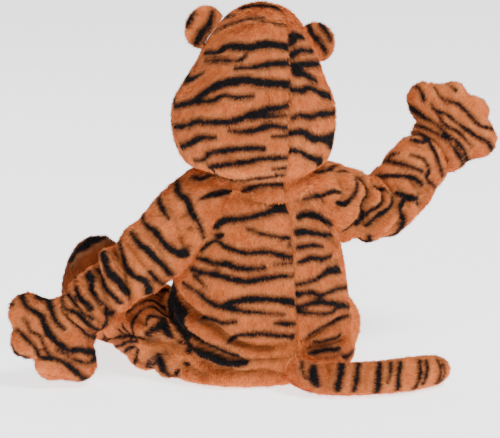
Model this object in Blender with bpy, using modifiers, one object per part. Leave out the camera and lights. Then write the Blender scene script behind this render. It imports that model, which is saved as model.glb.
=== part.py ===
"""A plush tiger costume for a baby, worn and sitting, as hollow cloth pieces with nobody inside.

The tables are in millimetres and degrees. The wearer looks along -Y, the wearer's left is +X and
heights count from the floor. The finished part is in metres, with its origin in the middle of the
neck, where the wearer holds the costume up. Angles go round from the middle of the back (0) over
the wearer's left (90) to the middle of the front (180).
"""

import math

import bmesh
import bpy
from mathutils import Vector

# Driving dimensions
MM = 0.001
HOLD_HEIGHT = 240.0
WALL = 5.0
SEAM_GAP = 0.3
ROUND_MM_PER_DEGREE = 1.9  # on the seat, where the creases are
PLACKET_ENDS = (0.3, 5.4)  # rows of the body between which the closing strip runs
PAD_SHARPNESS = 16.0  # how crisply the fingers of a pad part
ROUND_STEPS = 28
LIMB_STEPS = 16
PAD_RINGS = 3
EAR_STEPS = 14
PLACKET_HALF_ANGLE = 8.0
PLACKET_WALL = 3.0
EAR_WALL = 5.0
FACE_OPENING = {"half_width": 58.0, "half_height": 70.0, "x": 4.0, "height": 338.0}

RUST = (0.62, 0.20, 0.07, 1.0)
DARK_RUST = (0.30, 0.07, 0.02, 1.0)

# The body from the neck seam down to the middle of the seat, one row a ring
BODY_COLUMNS = ("height", "back_rise", "front_rise", "x", "y", "half_width", "back", "front", "steps")
BODY_RINGS = (
    (250.0, -24.0, -30.0, 2.0, 0.0, 68.0, 71.0, 60.0, 1),  # neck seam
    (238.0, -22.0, -26.0, 2.0, 0.0, 80.0, 76.0, 66.0, 2),
    (206.0, -8.0, -10.0, 2.0, 0.0, 94.0, 84.0, 74.0, 2),  # under the arms
    (166.0, 0.0, 0.0, 2.0, 0.0, 103.0, 92.0, 82.0, 2),
    (128.0, 0.0, 0.0, 3.0, 0.0, 111.0, 99.0, 87.0, 2),
    (98.0, 0.0, 0.0, 4.0, 0.0, 116.0, 103.0, 90.0, 4),  # top of the seat rolls
    (60.0, 0.0, 0.0, 5.0, 0.0, 122.0, 104.0, 92.0, 4),
    (28.0, 0.0, 0.0, 3.5, 0.0, 127.0, 103.0, 92.0, 2),
    (7.0, 0.0, 0.0, 3.5, 0.0, 123.0, 95.0, 86.0, 1),
    (0.0, 0.0, 0.0, 5.0, 0.0, 107.0, 84.0, 78.0, 1),  # edge of the flat seat
    (0.0, 0.0, 0.0, 5.0, 0.0, 52.0, 44.0, 38.0, 1),
    (0.0, 0.0, 0.0, 5.0, 0.0, 0.0, 0.0, 0.0, 0),
)

# The hood from the neck seam up to the crown
HOOD_RINGS = (
    (250.4, -24.0, -30.0, 2.0, 0.0, 68.0, 71.0, 60.0, 1),  # neck seam
    (254.0, -14.0, -16.0, 3.0, 0.0, 67.0, 68.0, 60.0, 1),
    (259.0, -6.0, -6.0, 4.0, 0.0, 61.0, 61.0, 55.0, 1),  # crease under the hood
    (262.0, -2.0, -3.0, 5.0, -1.0, 76.0, 74.0, 62.0, 1),
    (270.0, 0.0, 0.0, 6.0, -2.0, 93.0, 85.0, 70.0, 1),
    (292.0, 0.0, 0.0, 8.5, -3.0, 101.0, 92.0, 76.0, 2),
    (324.0, 0.0, 0.0, 9.5, -3.0, 105.0, 94.0, 79.0, 2),  # widest
    (348.0, 0.0, 0.0, 9.5, -3.0, 100.5, 91.0, 78.0, 1),
    (370.0, 0.0, 0.0, 7.5, -3.0, 87.5, 84.0, 74.0, 1),
    (394.0, 0.0, 0.0, 4.0, -2.0, 76.0, 74.0, 66.0, 1),
    (418.0, 0.0, 0.0, 3.0, -1.0, 65.0, 62.0, 56.0, 1),
    (442.0, 0.0, 0.0, 1.0, -1.0, 49.0, 46.0, 42.0, 2),
    (459.0, 0.0, 0.0, 0.0, -1.0, 27.0, 26.0, 24.0, 1),
    (466.0, 0.0, 0.0, 0.0, -1.0, 0.0, 0.0, 0.0, 0),
)

# Creases in the seat, each a line of (angle, height) with its depth and width
BODY_CREASES = (
    (6.5, 6.5, ((76.0, 110.0), (62.0, 88.0), (50.0, 71.0), (38.0, 61.0), (16.0, 56.0), (-8.0, 57.0))),
    (4.5, 5.0, ((44.0, 45.0), (28.0, 41.0), (12.0, 39.0), (-4.0, 40.0))),
    (6.5, 5.5, ((80.0, 74.0), (70.0, 56.0), (54.0, 36.0), (40.0, 26.0), (20.0, 23.0), (-4.0, 19.0))),
    (4.0, 5.0, ((84.0, 48.0), (76.0, 34.0), (64.0, 22.0), (50.0, 13.0))),
    (4.0, 7.0, ((-20.0, 44.0), (-36.0, 54.0), (-58.0, 66.0))),
    (4.0, 6.0, ((-26.0, 22.0), (-44.0, 26.0), (-66.0, 40.0))),
    (4.0, 8.0, ((150.0, 152.0), (180.0, 140.0), (212.0, 156.0))),
    (4.0, 8.0, ((140.0, 118.0), (180.0, 106.0), (222.0, 120.0))),
)

# Limbs as sections along a bent line; half_up lies in the upright plane and half_side across it
LIMB_COLUMNS = ("x", "y", "height", "half_up", "half_side", "steps")
LEFT_SLEEVE = (
    (30.0, 5.0, 222.0, 55.0, 44.0, 1),
    (66.0, 4.0, 215.0, 57.0, 46.0, 1),
    (101.0, 2.0, 195.0, 51.0, 45.0, 2),  # armhole
    (132.0, 0.0, 170.0, 46.0, 42.0, 2),
    (164.0, -5.0, 145.0, 43.0, 39.0, 2),
    (190.0, -10.0, 124.0, 38.0, 36.0, 2),
    (212.0, -14.0, 104.0, 40.0, 37.0, 2),
    (228.0, -17.0, 90.0, 36.0, 31.0, 1),  # wrist
    (240.0, -19.0, 80.0, 29.0, 21.0, 0),
)
RIGHT_SLEEVE = (
    (-26.0, 5.0, 219.0, 52.0, 44.0, 1),
    (-62.0, 4.0, 215.0, 54.0, 46.0, 1),
    (-98.0, 3.0, 207.0, 53.0, 46.0, 2),  # armhole
    (-132.0, 2.0, 196.0, 47.5, 44.0, 3),
    (-164.0, 0.0, 197.0, 45.5, 42.0, 2),  # elbow
    (-189.0, -2.0, 214.0, 44.0, 40.0, 2),
    (-209.0, -4.0, 236.0, 43.0, 38.0, 2),
    (-229.0, -6.0, 257.0, 40.0, 32.0, 1),  # wrist
    (-239.0, -7.0, 269.0, 29.0, 21.0, 0),
)
LEFT_LEG = (
    (58.0, 20.0, 48.0, 56.0, 48.0, 1),
    (72.0, 8.0, 47.0, 57.0, 49.5, 1),
    (100.0, -14.0, 44.0, 59.0, 64.0, 2),
    (110.0, -70.0, 44.0, 56.0, 62.0, 2),
    (112.0, -118.0, 42.0, 53.0, 56.0, 2),
    (121.0, -164.0, 41.0, 50.0, 52.0, 2),
    (135.0, -200.0, 43.0, 47.0, 47.0, 1),
    (143.0, -220.0, 48.0, 42.0, 40.0, 1),  # ankle
    (146.0, -232.0, 53.0, 34.0, 32.0, 0),
)
RIGHT_LEG_SPREAD = 0.82
TAIL = (
    (-2.0, 84.0, 34.0, 19.0, 20.0, 1),
    (-8.0, 114.0, 26.0, 20.5, 20.5, 2),
    (-26.0, 136.0, 21.5, 20.5, 20.5, 2),
    (-58.0, 150.0, 21.0, 21.0, 21.0, 2),
    (-100.0, 158.0, 21.0, 21.0, 21.0, 2),
    (-142.0, 156.0, 21.0, 21.5, 21.0, 1),
    (-170.0, 152.0, 21.0, 19.5, 18.5, 1),
    (-184.0, 147.0, 20.5, 13.5, 12.5, 1),
    (-189.5, 145.0, 20.5, 4.5, 4.5, 0),
)

# Creases round a limb: how far along, how far they slant between top and underside, depth, width
LEFT_SLEEVE_CREASES = (
    (88.0, 14.0, 3.0, 8.0),
    (128.0, -8.0, 3.5, 7.0),
    (166.0, -10.0, 4.5, 7.0),
    (196.0, -12.0, 5.0, 7.0),
    (222.0, -8.0, 4.0, 6.0),
)
RIGHT_SLEEVE_CREASES = (
    (96.0, -16.0, 4.0, 8.0),
    (120.0, -14.0, 4.5, 7.0),
    (141.0, -12.0, 5.0, 7.0),
    (164.0, -14.0, 5.0, 7.0),
    (192.0, -8.0, 3.5, 7.0),
    (216.0, 6.0, 3.5, 6.0),
)
LEG_CREASES = (
    (76.0, 14.0, 4.0, 9.0),
    (118.0, -10.0, 3.5, 8.0),
    (168.0, 8.0, 4.0, 8.0),
    (206.0, 0.0, 4.0, 7.0),
)

# Fingers of a paw: direction in the paw's plane, how far they reach, and how round they are
LEFT_FINGERS = (
    (138.0, 72.0, 26.0),
    (190.0, 58.0, 22.0),
    (267.0, 57.0, 24.0),
    (311.0, 70.0, 25.0),
)
RIGHT_FINGERS = (
    (130.0, 75.0, 24.5),
    (82.0, 64.0, 20.0),
    (32.0, 62.0, 22.0),
    (-21.0, 69.0, 25.0),
)

# Pads are flat forms with two round faces: where they are, which way they face, and their sizes
PADS = {
    "left_paw": {
        "middle": (262.0, -22.0, 62.0), "facing": (0.33, 0.92, 0.20), "upright": (0.0, 0.0, 1.0),
        "palm_radius": 38.0, "fingers": LEFT_FINGERS, "back": 30.0, "front": 26.0,
        "wrist": (39.0, 20.0, 40.0), "steps": 30,
    },
    "right_paw": {
        "middle": (-262.0, -8.0, 291.0), "facing": (0.33, 0.92, 0.20), "upright": (0.0, 0.0, 1.0),
        "palm_radius": 38.0, "fingers": RIGHT_FINGERS, "back": 30.0, "front": 26.0,
        "wrist": (-114.0, 20.0, 43.0), "steps": 30,
    },
    "left_foot": {
        "middle": (149.0, -240.0, 67.0), "facing": (-0.18, 0.98, 0.06), "upright": (-0.16, 0.0, 1.0),
        "palm_radius": 47.0, "fingers": ((86.0, 70.0, 44.0), (270.0, 66.0, 45.0)),
        "back": 27.0, "front": 22.0, "wrist": (0.0, 0.0, 44.0), "steps": 18,
    },
}
FINGER_GROOVE = 0.30

# Ears: middle of the base, the way they stand up, and how high and wide they are
EARS = {
    "left": {
        "base": (51.0, -18.0, 424.0), "up": (0.86, -0.10, 0.51), "height": 44.0, "half_width": 28.5,
    },
    "right": {
        "base": (-65.5, -18.0, 397.5), "up": (-0.79, -0.10, 0.61), "height": 42.5, "half_width": 27.5,
    },
}
EAR_CUP = 7.0

# Seams as outlines that split the hood: the middle of the back seen from the front (x, height),
# and the seam from ear to ear seen from the side (y, height)
HOOD_BACK_SEAM = (
    (-9.0, 180.0), (-8.0, 240.0), (-3.0, 290.0), (-3.0, 330.0), (-19.0, 440.0), (-22.0, 500.0),
)
HOOD_EAR_SEAM = ((-12.0, 180.0), (-12.0, 404.0), (43.0, 449.0), (110.0, 500.0))
BODY_BACK_SEAM = ((-8.0, -40.0), (-8.0, 300.0))
BODY_SIDE_SEAM = ((-16.0, -40.0), (-16.0, 300.0))
BODY_FRONT_SEAM = ((3.0, -40.0), (3.0, 300.0))
FAR = 420.0


def row_at(rows, where, columns):
    """A table's row at a fractional index, on a smooth curve through its rows."""
    last = len(rows) - 1
    index = min(int(where), last - 1)
    part = where - index
    before = rows[max(index - 1, 0)]
    start = rows[index]
    end = rows[index + 1]
    after = rows[min(index + 2, last)]
    values = {}
    for name, p0, p1, p2, p3 in zip(columns, before, start, end, after):
        bend = 2.0 * p0 - 5.0 * p1 + 4.0 * p2 - p3
        turn = 3.0 * p1 - p0 - 3.0 * p2 + p3
        values[name] = 0.5 * (2.0 * p1 + (p2 - p0) * part + bend * part**2 + turn * part**3)
    return values


def stations(rows):
    """Where the rings of a mesh lie along a table, from its last column."""
    found = []
    for index, row in enumerate(rows):
        for step in range(row[-1]):
            found.append(index + step / row[-1])
    found.append(float(len(rows) - 1))
    return found


def bump(distance, width):
    """A soft round hollow, 1 in its middle."""
    return math.exp(-((distance / width) ** 2))


class Rings:
    """A form of rings stacked round an upright axis."""

    def __init__(self, rows, downward, creases=()):
        self.rows = rows
        self.side = -1.0 if downward else 1.0
        self.creases = creases

    def plain(self, angle, where):
        row = row_at(self.rows, where, BODY_COLUMNS)
        back = math.cos(angle)
        rise = row["back_rise"] if back > 0.0 else row["front_rise"]
        reach = row["back"] if back > 0.0 else row["front"]
        x = row["x"] + row["half_width"] * math.sin(angle)
        y = row["y"] + reach * back
        return Vector((x, y, row["height"] + rise * back * back))

    def normal(self, angle, where):
        step = 0.02
        near = min(max(where, step), len(self.rows) - 1.2)
        across = self.plain(angle + step, near) - self.plain(angle - step, near)
        along = self.plain(angle, near + step) - self.plain(angle, near - step)
        return along.cross(across).normalized() * self.side

    def crease(self, angle, height):
        """How deep the creases lie at a place, with their ends running out."""
        degrees = math.degrees(angle)
        total = 0.0
        for depth, width, line in self.creases:
            total += depth * crease_share(degrees, height, line, width)
        return total

    def point(self, angle, where, out=0.0):
        place = self.plain(angle, where)
        lift = out - self.crease(angle, place.z)
        return place + self.normal(angle, where) * lift


def crease_share(degrees, height, line, width):
    """1 in the middle of a crease, 0 away from it and at its two ends."""
    best = 0.0
    pieces = len(line) - 1
    for index in range(pieces):
        a0, h0 = line[index]
        a1, h1 = line[index + 1]
        start = (a0 * ROUND_MM_PER_DEGREE, h0)
        run = ((a1 - a0) * ROUND_MM_PER_DEGREE, h1 - h0)
        turned = degrees - 360.0 * round((degrees - a0) / 360.0)
        offset = (turned * ROUND_MM_PER_DEGREE - start[0], height - start[1])
        share = (offset[0] * run[0] + offset[1] * run[1]) / (run[0] ** 2 + run[1] ** 2)
        share = min(max(share, 0.0), 1.0)
        distance = math.hypot(offset[0] - share * run[0], offset[1] - share * run[1])
        along = (index + share) / pieces
        ends = min(1.0, 5.0 * along + 0.15, 5.0 * (1.0 - along) + 0.15)
        best = max(best, bump(distance, width) * ends)
    return best


class Limb:
    """A form of sections along a bent line, kept above the floor."""

    def __init__(self, rows, creases=()):
        self.rows = rows
        self.creases = creases
        self.lengths = [0.0]
        for first, second in zip(rows, rows[1:]):
            self.lengths.append(self.lengths[-1] + math.dist(first[:3], second[:3]))

    def middle(self, where):
        row = row_at(self.rows, where, LIMB_COLUMNS)
        return Vector((row["x"], row["y"], row["height"]))

    def along(self, where):
        index = min(int(where), len(self.rows) - 2)
        run = self.lengths[index + 1] - self.lengths[index]
        return self.lengths[index] + (where - index) * run

    def point(self, angle, where, out=0.0):
        """Angle 0 is the top of the limb."""
        row = row_at(self.rows, where, LIMB_COLUMNS)
        step = 0.05
        ahead = self.middle(min(where + step, len(self.rows) - 1.0))
        run = (ahead - self.middle(max(where - step, 0.0))).normalized()
        sideways = Vector((0.0, 0.0, 1.0)).cross(run).normalized()
        upward = run.cross(sideways)
        depth = 0.0
        for along, slant, deep, width in self.creases:
            place = along + slant * math.cos(angle)
            depth += deep * bump(self.along(where) - place, width)
        up = (row["half_up"] + out - depth) * math.cos(angle)
        side = (row["half_side"] + out - depth) * math.sin(angle)
        place = self.middle(where) + upward * up + sideways * side
        place.z = max(place.z, -out)
        return place


class Pad:
    """A flat form with a round back and a round front, such as a paw or a foot."""

    def __init__(self, sizes):
        self.sizes = sizes
        self.middle = Vector(sizes["middle"])
        self.facing = Vector(sizes["facing"]).normalized()
        self.right = Vector(sizes["upright"]).cross(self.facing).normalized()
        self.up = self.facing.cross(self.right)

    def reach(self, angle):
        """How far the outline lies from the middle, round the palm, the fingers and the wrist."""
        wrist_direction, wrist_distance, wrist_radius = self.sizes["wrist"]
        circles = [(wrist_direction, wrist_distance, wrist_radius)]
        for direction, reach, radius in self.sizes["fingers"]:
            circles.append((direction, reach - radius, radius))
        total = self.sizes["palm_radius"] ** PAD_SHARPNESS
        for direction, distance, radius in circles:
            off = angle - math.radians(direction)
            across = distance * math.sin(off)
            ahead = distance * math.cos(off)
            if abs(across) < radius and ahead + radius > 0.0:
                total += max(ahead + math.sqrt(radius**2 - across**2), 0.0) ** PAD_SHARPNESS
        return total ** (1.0 / PAD_SHARPNESS)

    def groove(self, angle, share):
        """The dips between neighbouring fingers, towards the edge."""
        directions = sorted(row[0] for row in self.sizes["fingers"])
        depth = 0.0
        for first, second in zip(directions, directions[1:]):
            if second - first < 90.0:
                off = math.degrees(angle) - (first + second) / 2.0
                off -= 360.0 * round(off / 360.0)
                depth += bump(off, 9.0) * bump(share - 0.8, 0.35)
        return FINGER_GROOVE * depth

    def point(self, angle, share, side):
        """share runs from 0 in the middle to 1 on the outline; side is 1 on the back, -1 in front."""
        depth = self.sizes["back"] if side > 0.0 else self.sizes["front"]
        depth *= math.sqrt(max(1.0 - share**2.6, 0.0)) * (1.0 - self.groove(angle, share))
        palm = self.sizes["palm_radius"]
        reach = share * (palm + (self.reach(angle) - palm) * share**2)
        flat = self.right * (reach * math.cos(angle)) + self.up * (reach * math.sin(angle))
        return self.middle + flat + self.facing * (depth * side)


def in_part(place):
    """A place in the tables as one in the part: metres, from the neck."""
    return (place.x * MM, place.y * MM, (place.z - HOLD_HEIGHT) * MM)


def clear_scene():
    for thing in list(bpy.data.objects):
        bpy.data.objects.remove(thing, do_unlink=True)


def new_collection(name):
    group = bpy.data.collections.new(name)
    bpy.context.scene.collection.children.link(group)
    return group


def plush(name, colour):
    """A fully rough Principled material."""
    material = bpy.data.materials.new(name)
    material.use_nodes = True
    surface = material.node_tree.nodes["Principled BSDF"]
    surface.inputs["Base Color"].default_value = colour
    surface.inputs["Roughness"].default_value = 1.0
    surface.inputs["Metallic"].default_value = 0.0
    return material


def loft(rings, start_cap=None, end_cap=None, closed=True):
    """A mesh through rings of points in millimetres; a cap is the point its ring closes on.

    Its faces are triangles, so that a form and its grown copy bend along the same lines.
    """
    mesh = bmesh.new()
    rows = [[mesh.verts.new(in_part(place)) for place in ring] for ring in rings]
    for first, second in zip(rows, rows[1:]):
        count = len(first)
        for index in range(count if closed else count - 1):
            after = (index + 1) % count
            mesh.faces.new((first[index], first[after], second[after]))
            mesh.faces.new((first[index], second[after], second[index]))
    if start_cap is not None:
        fan(mesh, rows[0][::-1], start_cap)
    if end_cap is not None:
        fan(mesh, rows[-1], end_cap)
    return mesh


def fan(mesh, ring, middle):
    tip = mesh.verts.new(in_part(middle))
    for index, corner in enumerate(ring):
        mesh.faces.new((corner, ring[(index + 1) % len(ring)], tip))


def add_object(name, mesh, group, material=None, face_out=True):
    """An object made from a bmesh, shaded smooth; without a material it is a cutter."""
    mesh.normal_update()
    if face_out:
        bmesh.ops.recalc_face_normals(mesh, faces=mesh.faces)
    data = bpy.data.meshes.new(name)
    mesh.to_mesh(data)
    mesh.free()
    thing = bpy.data.objects.new(name, data)
    group.objects.link(thing)
    if material is None:
        thing.hide_render = True
        thing.display_type = "WIRE"
    else:
        data.materials.append(material)
        data.shade_smooth()
    return thing


def solidify(thing, thickness, offset=-1.0):
    wall = thing.modifiers.new("wall", "SOLIDIFY")
    wall.thickness = thickness * MM
    wall.offset = offset
    wall.use_quality_normals = True


def cut(thing, cutter, operation="DIFFERENCE"):
    step = thing.modifiers.new(cutter.name, "BOOLEAN")
    step.operation = operation
    step.object = cutter
    step.solver = "EXACT"


def ring_angles(count, first=0.0, last=2.0 * math.pi, both_ends=False):
    parts = count - 1 if both_ends else count
    return [first + (last - first) * index / parts for index in range(count)]


def rings_mesh(form, cap=None):
    """The skin of a ringed form; with a cap its first ring is closed too, a little beyond it."""
    rings = []
    if cap is not None:
        beyond = Vector((0.0, 0.0, -2.0 * SEAM_GAP * form.side))
        rings.append([form.point(angle, 0.0) + beyond for angle in ring_angles(ROUND_STEPS)])
    for where in stations(form.rows)[:-1]:
        rings.append([form.point(angle, where) for angle in ring_angles(ROUND_STEPS)])
    return loft(rings, start_cap=cap, end_cap=form.plain(0.0, len(form.rows) - 1.0))


def grown(mesh, out):
    """A closed mesh with every face moved out, or in where out is negative."""
    mesh.normal_update()
    bmesh.ops.recalc_face_normals(mesh, faces=mesh.faces)
    mesh.normal_update()
    moves = [(corner, corner.normal * min(corner.calc_shell_factor(), 1.6)) for corner in mesh.verts]
    for corner, move in moves:
        corner.co += move * (out * MM)
    return mesh


def limb_mesh(form, out=0.0, capped=False):
    """The skin of a limb; a capped one reaches a little beyond both of its ends."""
    rings = []
    for where in stations(form.rows):
        rings.append([form.point(angle, where, out) for angle in ring_angles(LIMB_STEPS)])
    if not capped:
        return loft(rings)
    last = len(form.rows) - 1.0
    tips = []
    for ring, end, inner in ((rings[0], 0.0, 0.2), (rings[-1], last, last - 0.2)):
        beyond = (form.middle(end) - form.middle(inner)).normalized() * (2.0 * out)
        ring[:] = [place + beyond for place in ring]
        tips.append(form.middle(end) + beyond)
    return loft(rings, start_cap=tips[0], end_cap=tips[1])


def pad_mesh(form):
    """Both faces of a pad, from the middle of its back over the outline to the middle of its front."""
    rings = []
    angles = ring_angles(form.sizes["steps"])
    shares = [math.sin(0.5 * math.pi * step / PAD_RINGS) for step in range(1, PAD_RINGS + 1)]
    for share in shares:
        rings.append([form.point(angle, share, 1.0) for angle in angles])
    for share in reversed(shares[:-1]):
        rings.append([form.point(angle, share, -1.0) for angle in angles])
    return loft(rings, start_cap=form.point(0.0, 0.0, 1.0), end_cap=form.point(0.0, 0.0, -1.0))


def prism(name, outline, across, keep, group):
    """A cutter over everything on one side of a seam line, half a seam's gap away from it.

    across is the axis that the outline's first number counts along, X or Y, and keep is 1 for
    what lies beyond the line along it and -1 for what lies before it.
    """
    half_gap = keep * SEAM_GAP / 2.0
    corners = [(side + half_gap, height - half_gap) for side, height in outline]
    corners += [(keep * FAR, outline[-1][1]), (keep * FAR, outline[0][1])]
    rings = []
    for end in (-FAR, FAR):
        if across == "X":
            rings.append([Vector((side, end, height)) for side, height in corners])
        else:
            rings.append([Vector((end, side, height)) for side, height in corners])
    mesh = loft(rings)
    mesh.verts.ensure_lookup_table()
    count = len(corners)
    mesh.faces.new([mesh.verts[index] for index in reversed(range(count))])
    mesh.faces.new([mesh.verts[index] for index in range(count, 2 * count)])
    return add_object(name, mesh, group)


def make_cutters(forms, group):
    """Closed forms that trim the pieces against each other."""
    body = forms["body"]
    hood = forms["hood"]
    deep_in_neck = Vector((2.0, 0.0, 120.0))
    neck = Vector((2.0, 0.0, 236.0))
    made = {
        "hood_form": add_object("hood_form", grown(rings_mesh(hood, deep_in_neck), SEAM_GAP), group),
        "body_form": add_object("body_form", grown(rings_mesh(body, neck), SEAM_GAP), group),
        "body_hollow": add_object("body_hollow", grown(rings_mesh(body, neck), -WALL), group),
        "hood_back_left": prism("hood_back_left_side", HOOD_BACK_SEAM, "X", 1, group),
        "hood_back_right": prism("hood_back_right_side", HOOD_BACK_SEAM, "X", -1, group),
        "hood_behind": prism("hood_behind_ears", HOOD_EAR_SEAM, "Y", 1, group),
        "hood_before": prism("hood_before_ears", HOOD_EAR_SEAM, "Y", -1, group),
        "back_left": prism("back_left_side", BODY_BACK_SEAM, "X", 1, group),
        "back_right": prism("back_right_side", BODY_BACK_SEAM, "X", -1, group),
        "front_left": prism("front_left_side", BODY_FRONT_SEAM, "X", 1, group),
        "front_right": prism("front_right_side", BODY_FRONT_SEAM, "X", -1, group),
        "behind": prism("behind_sides", BODY_SIDE_SEAM, "Y", 1, group),
        "before": prism("before_sides", BODY_SIDE_SEAM, "Y", -1, group),
        "face": face_cutter(group),
    }
    for side in ("left", "right"):
        for limb in ("sleeve", "leg"):
            name = f"{limb}_{side}"
            made[name] = add_object(f"{name}_form", limb_mesh(forms[name], SEAM_GAP, True), group)
    return made


def face_cutter(group):
    """The opening that the wearer's face shows through."""
    mesh = bmesh.new()
    bmesh.ops.create_cone(mesh, cap_ends=True, segments=32, radius1=1.0, radius2=1.0, depth=1.0)
    for corner in mesh.verts:
        x = FACE_OPENING["x"] + FACE_OPENING["half_width"] * corner.co.x
        height = FACE_OPENING["height"] + FACE_OPENING["half_height"] * corner.co.y
        corner.co = in_part(Vector((x, -125.0 + 190.0 * corner.co.z, height)))
    return add_object("face_opening", mesh, group)


def make_hood(forms, cutters, group, material):
    pieces = {
        "hood_back_left": ("hood_back_left", "hood_behind"),
        "hood_back_right": ("hood_back_right", "hood_behind"),
        "hood_front": ("hood_before",),
    }
    for name, sides in pieces.items():
        piece = add_object(name, rings_mesh(forms["hood"]), group, material)
        solidify(piece, WALL)
        for side in sides:
            cut(piece, cutters[side], "INTERSECT")
        if name == "hood_front":
            cut(piece, cutters["face"])


def make_body(forms, cutters, group, material):
    """Two backs that go down under the seat, two fronts, and the strip that closes the fronts."""
    pieces = {
        "back_left": ("back_left", "behind"),
        "back_right": ("back_right", "behind"),
        "front_left": ("front_left", "before"),
        "front_right": ("front_right", "before"),
    }
    for name, sides in pieces.items():
        piece = add_object(name, rings_mesh(forms["body"]), group, material)
        solidify(piece, WALL)
        for side in sides:
            cut(piece, cutters[side], "INTERSECT")
        cut(piece, cutters["hood_form"])
        wearer_side = name.split("_")[1]
        cut(piece, cutters[f"sleeve_{wearer_side}"])
        cut(piece, cutters[f"leg_{wearer_side}"])
    make_placket(forms["body"], cutters, group, material)


def make_placket(form, cutters, group, material):
    """The closing strip lies on the fronts, from the neck to the crotch."""
    half = math.radians(PLACKET_HALF_ANGLE)
    rings = []
    for where in stations(form.rows):
        if PLACKET_ENDS[0] < where < PLACKET_ENDS[1]:
            angles = ring_angles(5, math.pi - half, math.pi + half, both_ends=True)
            rings.append([form.point(angle, where, SEAM_GAP) for angle in angles])
    strip = add_object("front_placket", loft(rings, closed=False), group, material)
    solidify(strip, PLACKET_WALL, offset=1.0)
    cut(strip, cutters["hood_form"])


def make_limb(name, form, cutters, group, material):
    """A sleeve or leg: a tube trimmed where it meets the body and the hood."""
    tube = add_object(name, limb_mesh(form), group, material)
    solidify(tube, WALL)
    cut(tube, cutters["body_hollow"])
    cut(tube, cutters["hood_form"])


def make_tail(form, cutters, group, material):
    """The stuffed tail, sewn to the back over the seat."""
    tail = add_object("tail", limb_mesh(form, 0.0, True), group, material)
    cut(tail, cutters["body_form"])


def half_space(name, form, side, group):
    """A box over everything on one side of a pad's middle plane."""
    mesh = bmesh.new()
    bmesh.ops.create_cube(mesh, size=2.0)
    reach = 160.0
    for corner in mesh.verts:
        flat = form.right * (corner.co.x * reach) + form.up * (corner.co.y * reach)
        deep = (corner.co.z + 1.0) * reach / 2.0 + SEAM_GAP / 2.0
        corner.co = in_part(form.middle + flat + form.facing * (deep * side))
    return add_object(name, mesh, group)


def make_pad(name, halves, form, limb, group, cutter_group, material):
    """The two hollow halves of a paw or foot, open where the limb goes in."""
    for half, side in halves.items():
        piece = add_object(f"{name}_{half}", pad_mesh(form), group, material)
        solidify(piece, WALL)
        cut(piece, half_space(f"{name}_{half}_side", form, side, cutter_group), "INTERSECT")
        cut(piece, limb)


def make_ears(hood_form, group, material):
    """Each ear is a back and a front of plush, cupped towards the front."""
    for side, sizes in EARS.items():
        up = Vector(sizes["up"]).normalized()
        right = up.cross(Vector((0.0, 1.0, 0.0))).normalized()
        facing = right.cross(up)
        middle = Vector(sizes["base"]) + up * (sizes["height"] * 0.45)
        for half, offset in (("back", 1.0), ("front", -1.0)):
            rings = []
            for share in (1.0, 0.6):
                ring = []
                for angle in ring_angles(EAR_STEPS):
                    across = sizes["half_width"] * share * math.cos(angle)
                    above = sizes["height"] * 0.55 * share * math.sin(angle)
                    cup = EAR_CUP * (1.0 - (across / sizes["half_width"]) ** 2)
                    cup += offset * SEAM_GAP / 2.0
                    ring.append(middle + right * across + up * above + facing * cup)
                rings.append(ring)
            tip = middle + facing * (EAR_CUP + offset * SEAM_GAP / 2.0)
            ear = add_object(f"ear_{side}_{half}", loft(rings, end_cap=tip), group, material, False)
            solidify(ear, EAR_WALL, offset=offset)
            cut(ear, hood_form)


def mirrored(rows, spread):
    """The other side's limb: the same table with x the other way, and closer to the middle."""
    return tuple((-spread * row[0],) + row[1:] for row in rows)


def make_forms():
    return {
        "body": Rings(BODY_RINGS, True, BODY_CREASES),
        "hood": Rings(HOOD_RINGS, False),
        "sleeve_left": Limb(LEFT_SLEEVE, LEFT_SLEEVE_CREASES),
        "sleeve_right": Limb(RIGHT_SLEEVE, RIGHT_SLEEVE_CREASES),
        "leg_left": Limb(LEFT_LEG, LEG_CREASES),
        "leg_right": Limb(mirrored(LEFT_LEG, RIGHT_LEG_SPREAD), LEG_CREASES),
        "tail": Limb(TAIL),
    }


def make_pads():
    pads = {name: Pad(sizes) for name, sizes in PADS.items()}
    other = dict(PADS["left_foot"])
    for key, spread in (("middle", RIGHT_LEG_SPREAD), ("facing", 1.0), ("upright", 1.0)):
        x, y, z = other[key]
        other[key] = (-spread * x, y, z)
    pads["right_foot"] = Pad(other)
    return pads


def main():
    clear_scene()
    pieces = new_collection("tiger costume")
    helpers = new_collection("cutters")
    orange = plush("orange plush", RUST)
    rust = plush("dark rust plush", DARK_RUST)
    forms = make_forms()
    cutters = make_cutters(forms, helpers)
    make_hood(forms, cutters, pieces, orange)
    make_body(forms, cutters, pieces, orange)
    for side in ("left", "right"):
        for limb in ("sleeve", "leg"):
            make_limb(f"{limb}_{side}", forms[f"{limb}_{side}"], cutters, pieces, orange)
    make_tail(forms["tail"], cutters, pieces, orange)
    make_ears(cutters["hood_form"], pieces, orange)
    pads = make_pads()
    for side in ("left", "right"):
        paw_halves = {"back": 1.0, "palm": -1.0}
        foot_halves = {"upper": 1.0, "sole": -1.0}
        sleeve = cutters[f"sleeve_{side}"]
        leg = cutters[f"leg_{side}"]
        make_pad(f"paw_{side}", paw_halves, pads[f"{side}_paw"], sleeve, pieces, helpers, orange)
        make_pad(f"foot_{side}", foot_halves, pads[f"{side}_foot"], leg, pieces, helpers, rust)


main()
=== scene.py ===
"""The looks of the tiger costume: plush skins with their creases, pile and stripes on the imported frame.

Tables are in millimetres and degrees, with heights counted from the floor. Angles go round from the
middle of the back (0) over the wearer's left (90) to the middle of the front (180).
"""

import math
from collections import Counter, defaultdict
from functools import cache

import bpy
import numpy as np
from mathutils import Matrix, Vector
from mathutils.bvhtree import BVHTree
from mathutils.kdtree import KDTree


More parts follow.
